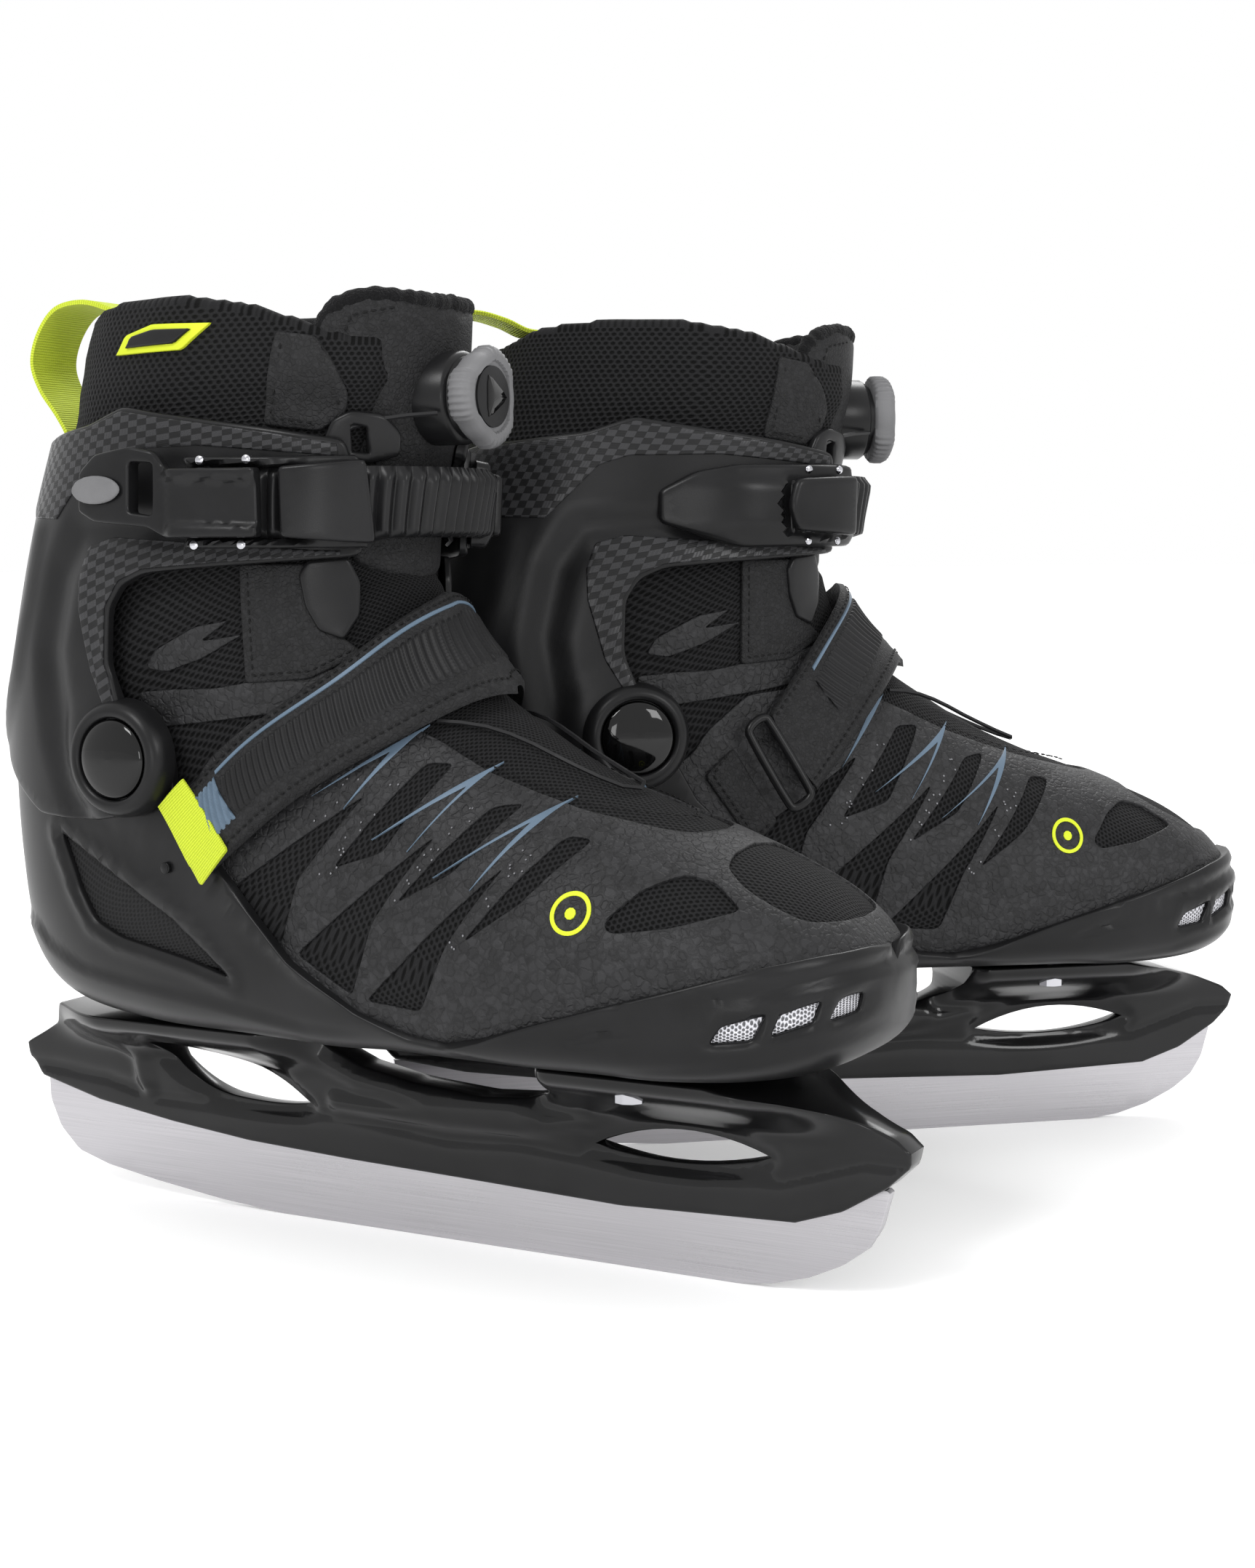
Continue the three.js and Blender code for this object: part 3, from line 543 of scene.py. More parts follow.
def panel(skin: Skin, loops: list[Array], low: float | Relief, high: float | Relief, edge: float = 0.6,
          spacing: float = 2.4, twin: bool = False) -> Shape:
    """A closed sheet that follows a skin inside an outline, with rounded edges.

    The rim has rings that step inwards by edge * (1 - cos) and upwards by edge * sin of a
    quarter turn; inside the last ring the outline is filled with a lattice by constrained
    Delaunay triangulation in the skin's flat picture.

    Args:
        skin: the surface.
        loops: the outline, and then any holes, as parameter pairs.
        low: height of the under side, or a function of (place, points).
        high: height of the upper side, or a function of (place, points).
        edge: radius of the upper edge.
        spacing: lattice step in mm.
        twin: mirror the upper side to the under side, for a slab about y = 0.

    Returns:
        The closed shape.
    """
    turns = (0.0, 30.0, 60.0, 90.0)
    rings, sizes, spots = [], [], []
    for index, loop in enumerate(loops):
        spot = skin.flat(loop)
        area = np.sum(spot[:, 0] * np.roll(spot[:, 1], -1) - np.roll(spot[:, 0], -1) * spot[:, 1])
        if (area > 0) != (index == 0):
            loop = loop[::-1]
        base = skin.at(loop, 0.0)
        along = unit(np.roll(base, -1, 0) - np.roll(base, 1, 0))
        inward = unit(np.cross(skin.normal(loop[:, 0], loop[:, 1]), along))
        by_row, by_angle = skin.slopes(loop[:, 0], loop[:, 1])
        aa, bb, ab = (by_row ** 2).sum(1), (by_angle ** 2).sum(1), (by_row * by_angle).sum(1)
        ra, rb = (by_row * inward).sum(1), (by_angle * inward).sum(1)
        scale = np.maximum(aa * bb - ab ** 2, 1e-6)
        step = np.stack([(ra * bb - rb * ab) / scale, (rb * aa - ra * ab) / scale], 1)
        set_in = [loop + step * edge * (1 - math.cos(math.radians(t))) for t in turns]
        rings.append(set_in)
        sizes.append(len(loop))
        spots.append(skin.flat(set_in[-1]))
    count = sum(sizes)
    rim = np.vstack(spots)
    lattice = skin.lattice(spacing)
    spot = skin.flat(lattice)
    reach = rim.min(0), rim.max(0)
    near = np.all((spot > reach[0]) & (spot < reach[1]), axis=1)
    lattice, spot = lattice[near], spot[near]
    keep = inside(spot, spots[0])
    for hole in spots[1:]:
        keep &= ~inside(spot, hole)
    lattice, spot = lattice[keep], spot[keep]
    rim_points = skin.at(np.vstack([r[-1] for r in rings]), 0.0)
    if len(lattice):
        body = skin.at(lattice, 0.0)
        gap = np.full(len(body), 1e9)
        for chunk in range(0, len(rim_points), 256):
            part = rim_points[chunk:chunk + 256]
            gap = np.minimum(gap, np.linalg.norm(body[:, None] - part[None], axis=2).min(1))
        spot = spot[gap > spacing * 0.45]
    edges, start = [], 0
    for size in sizes:
        edges += [(start + k, start + (k + 1) % size) for k in range(size)]
        start += size
    cloud = [Vector(p) for p in np.vstack([rim, spot])]
    made, _, tris, origin, _, _ = geometry.delaunay_2d_cdt(cloud, edges, [], 0, 1e-9)
    made = np.array([tuple(v) for v in made])
    tris = np.array([t for t in tris if len(t) == 3])
    middle = made[tris].mean(1)
    keep = inside(middle, spots[0])
    for hole in spots[1:]:
        keep &= ~inside(middle, hole)
    tris = tris[keep]
    where = skin.back(made)
    ring_place = np.vstack([r[-1] for r in rings])
    index_of = np.full(count, -1)
    for new, olds in enumerate(origin):
        for old in olds:
            if old < count:
                index_of[old] = new
                where[new] = ring_place[old]
    used = np.unique(np.r_[tris.ravel(), index_of[index_of >= 0]])
    remap = np.full(len(made), -1)
    remap[used] = np.arange(len(used))
    tris, where, index_of = remap[tris], where[used], remap[index_of]

    def tall(value: float | Relief, place: Array) -> Array:
        """The height at each place."""
        if callable(value):
            return value(place, skin.at(place, 0.0))
        return np.full(len(place), float(value))

    top = tall(high, where)
    upper = skin.at(where, top)
    under_height = -top if twin else tall(low, where)
    under = skin.at(where, under_height)
    a, b, c = (upper[tris[:, k]] for k in range(3))
    face_way = np.cross(b - a, c - a)
    up = skin.normal(where[tris[:, 0], 0], where[tris[:, 0], 1])
    wrong = (face_way * up).sum(1) < 0
    tris[wrong] = tris[wrong][:, ::-1]
    size = len(where)
    points, uv = [upper, under], [skin.uv(where), skin.uv(where)]
    faces = [tris, tris[:, ::-1] + size]
    total, start = 2 * size, 0
    for set_in, ring_size in zip(rings, sizes):
        last = index_of[start:start + ring_size]
        start += ring_size
        levels = [last]
        stack = []
        for turn, place in zip(turns[:-1], set_in[:-1]):
            level = tall(high, place)
            drop = level - edge * (1 - math.sin(math.radians(turn)))
            stack.append((place, drop))
        if twin:
            stack = [(p, -h) for p, h in stack[::-1]] + stack
        else:
            floor = tall(low, set_in[-1])
            stack = [(set_in[0], np.minimum(floor + edge * 0.3, stack[0][1]))] + stack
        names = []
        for place, height in stack:
            points.append(skin.at(place, height))
            uv.append(skin.uv(place))
            names.append(np.arange(ring_size) + total)
            total += ring_size
        levels = [last + size] + names + [last]
        for one, two in zip(levels[:-1], levels[1:]):
            faces.append(np.stack([one, np.roll(one, -1), np.roll(two, -1), two], 1))
    return Shape(np.vstack(points), faces, np.vstack(uv))


def sweep(path: Array, up: Array, profile: Array, closed: bool = False, ring: bool = True) -> Shape:
    """Carries a profile along a path: point = path + across * profile x + up * profile y.

    Args:
        path: centre line, n by 3.
        up: the direction that the profile's y takes at each place.
        profile: the section, m by 2, counter-clockwise.
        closed: the path joins itself.
        ring: the profile is closed.

    Returns:
        The shape, with closed ends when the path is open.
    """
    along = np.gradient(path, axis=0)
    if closed:
        along = np.roll(path, -1, 0) - np.roll(path, 1, 0)
    along = unit(along)
    up = unit(up - (up * along).sum(1)[:, None] * along)
    across = np.cross(along, up)
    n, m = len(path), len(profile)
    points = path[:, None] + across[:, None] * profile[None, :, :1] + up[:, None] * profile[None, :, 1:]
    points = points.reshape(-1, 3)
    run = np.r_[0, np.cumsum(np.linalg.norm(np.diff(path, axis=0), axis=1))]
    round_run = np.r_[0, np.cumsum(np.linalg.norm(np.diff(profile, axis=0), axis=1))]
    uv = np.stack([np.tile(round_run, n), np.repeat(run, m)], 1)
    i = np.arange(n if closed else n - 1)[:, None]
    k = np.arange(m if ring else m - 1)[None]
    j, k2 = (i + 1) % n, (k + 1) % m
    quads = np.stack([i * m + k, i * m + k2, j * m + k2, j * m + k], -1).reshape(-1, 4)
    faces = [quads]
    if ring and not closed:
        ends = points.reshape(n, m, 3)[[0, -1]].mean(1)
        points = np.vstack([points, ends])
        uv = np.vstack([uv, uv[:1], uv[-1:]])
        k = np.arange(m)
        first = np.stack([np.full(m, n * m), (k + 1) % m, k], 1)
        last = np.stack([np.full(m, n * m + 1), (n - 1) * m + k, (n - 1) * m + (k + 1) % m], 1)
        faces += [first, last]
    return outward(Shape(points, faces, uv))


def outward(shape: Shape) -> Shape:
    """Turns all faces round if the closed shape's volume comes out negative.

    Args:
        shape: the shape, changed in place.

    Returns:
        The same shape.
    """
    total = 0.0
    for face in shape.faces:
        a = shape.points[face[:, 0]]
        for k in range(1, face.shape[1] - 1):
            b, c = shape.points[face[:, k]], shape.points[face[:, k + 1]]
            total += (a * np.cross(b, c)).sum()
    if total < 0:
        shape.faces = [f[:, ::-1] for f in shape.faces]
    return shape


def round_profile(radius: float, sides: int = 12) -> Array:
    """A circle as a closed profile."""
    turn = np.linspace(0, 2 * np.pi, sides + 1)[:-1]
    return np.stack([radius * np.cos(turn), radius * np.sin(turn)], 1)


def band_profile(width: float, thick: float, edge: float, across: int = 8) -> Array:
    """A flat band with rounded edges as a closed profile: y from 0 to thick.

    Args:
        width: width of the band.
        thick: its thickness.
        edge: radius of the eased edge.
        across: how many places along the flat.

    Returns:
        The profile, n by 2.
    """
    half = width / 2
    quarter = np.radians([0, 30, 60, 90])
    right = np.stack([half - edge + edge * np.cos(quarter), thick - edge + edge * np.sin(quarter)], 1)
    top = np.stack([np.linspace(half - edge, edge - half, across + 2)[1:-1], np.full(across, thick)], 1)
    left = right[::-1] * [-1, 1]
    base = np.stack([np.linspace(-half, half, 4), np.zeros(4)], 1)
    return np.vstack([right, top, left, base])


def spline(points: Sequence[Sequence[float]], count: int, closed: bool = False) -> Array:
    """A smooth line through points: Catmull-Rom, evenly spaced by length.

    Args:
        points: places that the line goes through.
        count: how many places come out.
        closed: whether the line joins its start.

    Returns:
        The line, one place a row.
    """
    p = np.array(points, float)
    ends = [p[-1:], p, p[:2]] if closed else [2 * p[:1] - p[1:2], p, 2 * p[-1:] - p[-2:-1]]
    q = np.vstack(ends)
    t = np.linspace(0, 1, 24)[:-1][:, None]
    out = []
    for i in range(len(q) - 3):
        a, b, c, d = q[i:i + 4]
        out.append(b + 0.5 * t * (c - a + t * (2 * a - 5 * b + 4 * c - d + t * (3 * (b - c) + d - a))))
    line = np.vstack(out + ([] if closed else [q[-2:-1]]))
    if closed:
        line = np.vstack([line, line[:1]])
    run = np.r_[0, np.cumsum(np.linalg.norm(np.diff(line, axis=0), axis=1))]
    where = np.linspace(0, run[-1], count + 1 if closed else count)
    line = np.stack([np.interp(where, run, line[:, k]) for k in range(line.shape[1])], 1)
    return line[:-1] if closed else line


def lathe(profile: Points2, centre: Sequence[float], axis: str, sides: int = 48,
          lobes: Optional[Callable[[Array, Array], Array]] = None) -> Shape:
    """Turns a profile of (radius, place along the axis) round an axis through a centre.

    Args:
        profile: from the axis and back to the axis.
        centre: a point of the axis.
        axis: x, y or z.
        sides: how many steps round.
        lobes: a factor on the radius, from the angle and the place along.

    Returns:
        The closed shape.
    """
    line = np.array(profile, float)
    turn = np.linspace(0, 2 * np.pi, sides + 1)[:-1]
    radius = np.repeat(line[:, 0][:, None], sides, 1)
    if lobes is not None:
        radius = radius * lobes(np.tile(turn, (len(line), 1)), np.repeat(line[:, 1][:, None], sides, 1))
    one, two, along = radius * np.cos(turn), radius * np.sin(turn), np.repeat(line[:, 1][:, None], sides, 1)
    order = {"x": (along, one, two), "y": (one, along, two), "z": (one, two, along)}[axis]
    points = np.stack(order, -1).reshape(-1, 3) + np.array(centre, float)
    i, k = np.arange(len(line) - 1)[:, None], np.arange(sides)[None]
    quads = np.stack([i * sides + k, i * sides + (k + 1) % sides, (i + 1) * sides + (k + 1) % sides,
                      (i + 1) * sides + k], -1).reshape(-1, 4)
    uv = np.stack([np.tile(turn * 12, len(line)), np.repeat(line[:, 1] + line[:, 0], sides)], 1)
    return outward(Shape(points, [quads], uv))


def beads(centres: Array, along: Array, up: Array, size: tuple[float, float, float]) -> Shape:
    """Many small rounded beads, as stitches or dots: an octagonal ellipsoid at each centre.

    Args:
        centres: places, n by 3.
        along: long direction at each.
        up: outward direction at each.
        size: half length, half width and half height.

    Returns:
        One shape with all of them.
    """
    turn = np.radians(np.arange(0, 360, 60))
    rows = np.radians([-50, 0, 50])
    ring = [[math.sin(r), math.cos(r) * math.cos(t), math.cos(r) * math.sin(t)] for r in rows for t in turn]
    ball = np.array([[-1, 0, 0]] + ring + [[1, 0, 0]])
    faces = [[0, 1 + (k + 1) % 6, 1 + k] for k in range(6)]
    quads = [[1 + r * 6 + k, 1 + r * 6 + (k + 1) % 6, 7 + r * 6 + (k + 1) % 6, 7 + r * 6 + k]
             for r in range(2) for k in range(6)]
    caps = faces + [[19, 13 + k, 13 + (k + 1) % 6] for k in range(6)]
    along, up = unit(along), unit(up)
    across = np.cross(up, along)
    frame = np.stack([along * size[0], across * size[1], up * size[2]], 1)
    points = (centres[:, None] + np.einsum("mk,nkj->nmj", ball, frame)).reshape(-1, 3)
    shift = (np.arange(len(centres)) * len(ball))[:, None, None]
    tri = (np.array(caps)[None] + shift).reshape(-1, 3)
    quad = (np.array(quads)[None] + shift).reshape(-1, 4)
    shape = Shape(points, [tri, quad], np.zeros((len(points), 2)))
    return outward(shape)


def stitches(place: Array, height: float, pitch: float = 2.6, length: float = 1.7, thick: float = 0.34) -> Shape:
    """A row of stitches along a line on the boot's skin.

    Args:
        place: the line as (row, angle) pairs.
        height: height over the skin.
        pitch: distance between stitches.
        length: length of one.
        thick: thread thickness.

    Returns:
        The stitches as one shape.
    """
    line = BOOT.at(place, height)
    run = np.r_[0, np.cumsum(np.linalg.norm(np.diff(line, axis=0), axis=1))]
    where = np.arange(pitch / 2, run[-1], pitch)
    spot = np.stack([np.interp(where, run, place[:, k]) for k in range(2)], 1)
    centre = BOOT.at(spot, height)
    ahead = np.stack([np.interp(where + 0.5, run, line[:, k]) for k in range(3)], 1)
    behind = np.stack([np.interp(where - 0.5, run, line[:, k]) for k in range(3)], 1)
    return beads(centre, ahead - behind, BOOT.normal(spot[:, 0], spot[:, 1]), (length / 2, thick, thick * 0.8))


def run_on_skin(points: Points2, soft: float = 1.0, step: float = 1.5) -> Array:
    """An open side-view line on the outer side as (row, angle) pairs."""
    path = outline(points, soft, step, closed=False)
    return BOOT.locate(path[:, 0], path[:, 1])


# ---------------------------------------------------------------- node groups
@dataclass
class Group:
    """A shader node group with its named inputs and outputs, built once."""

    name: str
    inputs: dict[str, float | tuple[float, ...]]
    outputs: tuple[str, ...]
    tree: bpy.types.NodeTree = field(init=False)
    enter: bpy.types.Node = field(init=False)
    leave: bpy.types.Node = field(init=False)

    def __post_init__(self) -> None:
        """Makes the tree, its sockets and its two end nodes."""
        self.tree = bpy.data.node_groups.new(self.name, "ShaderNodeTree")
        for name, value in self.inputs.items():
            kind = "NodeSocketFloat" if isinstance(value, (int, float)) else (
                "NodeSocketColor" if len(value) == 4 else "NodeSocketVector")
            socket = self.tree.interface.new_socket(name=name, in_out="INPUT", socket_type=kind)
            socket.default_value = value
        for name in self.outputs:
            kind = "NodeSocketColor" if name == "Color" else "NodeSocketFloat"
            self.tree.interface.new_socket(name=name, in_out="OUTPUT", socket_type=kind)
        self.enter = self.tree.nodes.new("NodeGroupInput")
        self.leave = self.tree.nodes.new("NodeGroupOutput")

    def take(self, name: str) -> bpy.types.NodeSocket:
        """The socket that brings an input in."""
        return self.enter.outputs[name]

    def give(self, name: str, value: bpy.types.NodeSocket) -> None:
        """Sends a value out."""
        self.tree.links.new(value, self.leave.inputs[name])


class Wiring:
    """Short ways to add nodes to a tree."""

    def __init__(self, tree: bpy.types.NodeTree) -> None:
        """Keeps the tree."""
        self.tree = tree

    def node(self, kind: str, **settings: object) -> bpy.types.Node:
        """A new node; settings are its attributes, or inputs by name or number.

        Args:
            kind: the node type.
            settings: attributes of the node by name.

        Returns:
            The node.
        """
        made = self.tree.nodes.new(kind)
        for name, value in settings.items():
            setattr(made, name, value)
        return made

    def put(self, socket: bpy.types.NodeSocket, value: object) -> None:
        """Links a socket or sets a constant.

        Args:
            socket: the input to fill.
            value: a socket to link, or a constant.
        """
        if isinstance(value, bpy.types.NodeSocket):
            self.tree.links.new(value, socket)
        else:
            socket.default_value = value

    def maths(self, operation: str, a: object, b: object = 0.0, c: object = 0.0) -> bpy.types.NodeSocket:
        """One Math node.

        Args:
            operation: the operation.
            a: first input.
            b: second input.
            c: third input.

        Returns:
            The node's result.
        """
        made = self.node("ShaderNodeMath", operation=operation)
        for k, value in enumerate((a, b, c)):
            self.put(made.inputs[k], value)
        return made.outputs[0]

    def vector(self, operation: str, a: object, b: object = (0, 0, 0), scale: object = 1.0) -> bpy.types.Node:
        """One Vector Math node.

        Args:
            operation: the operation.
            a: first input.
            b: second input.
            scale: the factor, for SCALE only.

        Returns:
            The node.
        """
        made = self.node("ShaderNodeVectorMath", operation=operation)
        self.put(made.inputs[0], a)
        if operation == "SCALE":
            self.put(made.inputs[3], scale)
        elif operation != "LENGTH":
            self.put(made.inputs[1], b)
        return made

    def mix(self, share: object, a: object, b: object) -> bpy.types.NodeSocket:
        """One colour Mix node.

        Args:
            share: how much of the second.
            a: first input.
            b: second input.

        Returns:
            The mixed colour.
        """
        made = self.node("ShaderNodeMix", data_type="RGBA")
        self.put(made.inputs["Factor"], share)
        self.put(made.inputs["A"], a)
        self.put(made.inputs["B"], b)
        return next(s for s in made.outputs if s.type == "RGBA")

    def ramp(self, value: object, low: float, high: float) -> bpy.types.NodeSocket:
        """Smooth rise from 0 at low to 1 at high.

        Args:
            value: a socket to link, or a constant.
            low: value that gives 0.
            high: value that gives 1.

        Returns:
            The eased value.
        """
        made = self.node("ShaderNodeMapRange", interpolation_type="SMOOTHSTEP")
        self.put(made.inputs["Value"], value)
        made.inputs["From Min"].default_value = low
        made.inputs["From Max"].default_value = high
        return made.outputs["Result"]


def mesh_weave_group() -> Group:
    """Spacer mesh: hexagonal holes, from the nearer of two grids offset by half a cell; the holes are painted dark,
    as painted shade in the openings together with the dark layer behind them.

    Returns:
        The group.
    """
    made = Group("Spacer mesh", {"Place": (0.0, 0.0, 0.0), "Cell": 2.0, "Hole": 0.3}, ("Hole", "Height", "Tone"))
    w = Wiring(made.tree)
    spot = w.vector("SCALE", made.take("Place"), scale=w.maths("DIVIDE", 1.0, made.take("Cell"))).outputs[0]
    cell = (1.0, 1.7321, 1.0)
    lengths = []
    for shift in ((0.0, 0.0, 0.0), (0.5, 0.86603, 0.0)):
        moved = w.vector("SUBTRACT", spot, shift).outputs[0]
        wrap = w.vector("MODULO", w.vector("ADD", moved, (1000.0, 1732.1, 0.0)).outputs[0], cell)
        centred = w.vector("SUBTRACT", wrap.outputs[0], (0.5, 0.86603, 0.0)).outputs[0]
        flat = w.vector("MULTIPLY", centred, (1.0, 1.0, 0.0)).outputs[0]
        lengths.append(w.vector("LENGTH", flat).outputs["Value"])
    near = w.maths("MINIMUM", *lengths)
    # Hole mask: the openings take the dark tone, which is painted shade in them together with the dark layer seen
    # through.
    hole = w.maths("SUBTRACT", 1.0, w.ramp(near, 0.2, 0.4))
    twist = w.node("ShaderNodeTexNoise", noise_dimensions="3D")
    twist.inputs["Scale"].default_value = 3.0
    w.put(twist.inputs["Vector"], spot)
    made.give("Hole", hole)
    made.give("Height", w.maths("ADD", w.ramp(near, 0.12, 0.5), w.maths("MULTIPLY", twist.outputs["Fac"], 0.5)))
    made.give("Tone", twist.outputs["Fac"])
    return made


def pebble_group() -> Group:
    """Pebbled synthetic leather: crushed cells of two sizes, with tone that varies from cell to cell and painted
    shade that darkens the creases between the cells.

    Returns:
        The group.
    """
    made = Group("Pebble grain", {"Place": (0.0, 0.0, 0.0), "Size": 2.2}, ("Height", "Tone", "Crease"))
    w = Wiring(made.tree)
    spot = w.vector("SCALE", made.take("Place"), scale=w.maths("DIVIDE", 1.0, made.take("Size"))).outputs[0]
    bend = w.node("ShaderNodeTexNoise", noise_dimensions="3D")
    bend.inputs["Scale"].default_value = 1.3
    w.put(bend.inputs["Vector"], spot)
    warped = w.vector("ADD", spot, w.vector("SCALE", bend.outputs["Color"], scale=0.9).outputs[0]).outputs[0]
    cells = w.node("ShaderNodeTexVoronoi", feature="DISTANCE_TO_EDGE")
    w.put(cells.inputs["Vector"], warped)
    cells.inputs["Scale"].default_value = 1.0
    tone = w.node("ShaderNodeTexVoronoi", feature="F1")
    w.put(tone.inputs["Vector"], warped)
    tone.inputs["Scale"].default_value = 1.0
    fine = w.node("ShaderNodeTexNoise", noise_dimensions="3D")
    fine.inputs["Scale"].default_value = 5.0
    fine.inputs["Detail"].default_value = 4.0
    w.put(fine.inputs["Vector"], spot)
    # Cell-edge mask: it shapes the relief of the creases, and it is also sent out to paint shade into them.
    crease = w.ramp(cells.outputs["Distance"], 0.02, 0.22)
    made.give("Crease", crease)
    made.give("Height", w.maths("ADD", crease, w.maths("MULTIPLY", fine.outputs["Fac"], 0.45)))
    split = w.node("ShaderNodeSeparateColor")
    w.put(split.inputs[0], tone.outputs["Color"])
    made.give("Tone", split.outputs[0])
    return made


def wear_group() -> Group:
    """Handling marks: broad smudges and fine scuffs that change gloss a little.

    Returns:
        The group.
    """
    made = Group("Handling wear", {"Place": (0.0, 0.0, 0.0), "Amount": 0.1}, ("Rough", "Tone", "Height"))
    w = Wiring(made.tree)
    smudge = w.node("ShaderNodeTexNoise", noise_dimensions="3D")
    smudge.inputs["Scale"].default_value = 0.035
    smudge.inputs["Detail"].default_value = 5.0
    w.put(smudge.inputs["Vector"], made.take("Place"))
    fine = w.node("ShaderNodeTexNoise", noise_dimensions="3D")
    fine.inputs["Scale"].default_value = 3.0
    fine.inputs["Detail"].default_value = 3.0
    w.put(fine.inputs["Vector"], made.take("Place"))
    rough = w.maths("MULTIPLY", w.maths("SUBTRACT", smudge.outputs["Fac"], 0.5), made.take("Amount"))
    grit = w.maths("MULTIPLY", w.maths("SUBTRACT", fine.outputs["Fac"], 0.5), 0.06)
    made.give("Rough", w.maths("ADD", rough, grit))
    made.give("Tone", w.ramp(smudge.outputs["Fac"], 0.3, 0.75))
    made.give("Height", fine.outputs["Fac"])
    return made


def check_group() -> Group:
    """Moulded carbon check: squares in two tones, each with its own twill ribs.

    Returns:
        The group.
    """
    made = Group("Carbon check", {"Place": (0.0, 0.0, 0.0), "Cell": 1.6}, ("Square", "Height"))
    w = Wiring(made.tree)
    turned = w.node("ShaderNodeVectorRotate", rotation_type="Z_AXIS")
    w.put(turned.inputs["Vector"], made.take("Place"))
    turned.inputs["Angle"].default_value = math.radians(8)
    spot = w.vector("SCALE", turned.outputs[0], scale=w.maths("DIVIDE", 1.0, made.take("Cell"))).outputs[0]
    check = w.node("ShaderNodeTexChecker")
    w.put(check.inputs["Vector"], w.vector("MULTIPLY", spot, (1.0, 1.0, 0.0)).outputs[0])
    check.inputs["Scale"].default_value = 1.0
    parts = w.node("ShaderNodeSeparateXYZ")
    w.put(parts.inputs[0], spot)
    ribs = [w.maths("SINE", w.maths("MULTIPLY", parts.outputs[k], 2 * math.pi * 3)) for k in (0, 1)]
    square = check.outputs["Fac"]
    rib = w.maths("ADD", w.maths("MULTIPLY", ribs[0], square),
                  w.maths("MULTIPLY", ribs[1], w.maths("SUBTRACT", 1.0, square)))
    made.give("Square", square)
    made.give("Height", w.maths("ADD", square, w.maths("MULTIPLY", rib, 0.12)))
    return made


def rib_group() -> Group:
    """Grosgrain webbing: ribs across the band, each broken by the yarns, with the tone following the ribs as painted
    shade in the troughs and painted highlight on the crests.

    Returns:
        The group.
    """
    made = Group("Grosgrain", {"Place": (0.0, 0.0, 0.0), "Pitch": 0.9}, ("Height", "Tone"))
    w = Wiring(made.tree)
    parts = w.node("ShaderNodeSeparateXYZ")
    w.put(parts.inputs[0], made.take("Place"))
    turns = w.maths("DIVIDE", 2 * math.pi, made.take("Pitch"))
    rib = w.maths("SINE", w.maths("MULTIPLY", parts.outputs[1], turns))
    yarn = w.maths("SINE", w.maths("MULTIPLY", parts.outputs[0], w.maths("MULTIPLY", turns, 1.6)))
    made.give("Height", w.maths("ADD", rib, w.maths("MULTIPLY", yarn, 0.4)))
    # Painted shade and highlight: the tone is dark in the rib troughs and light on the crests.
    made.give("Tone", w.ramp(rib, -1.0, 1.0))
    return made


class Groups:
    """The shared node groups."""

    def __init__(self) -> None:
        """Builds each group once."""
        self.mesh = mesh_weave_group()
        self.pebble = pebble_group()
        self.wear = wear_group()
        self.check = check_group()
        self.rib = rib_group()


# ---------------------------------------------------------------- finishes
class Pattern(Enum):
    """What a finish's surface is patterned with."""

    PLAIN = "plain"
    MESH = "mesh"
    PEBBLE = "pebble"
    CHECK = "check"
    RIB = "rib"
    BRUSHED = "brushed"
    PILE = "pile"


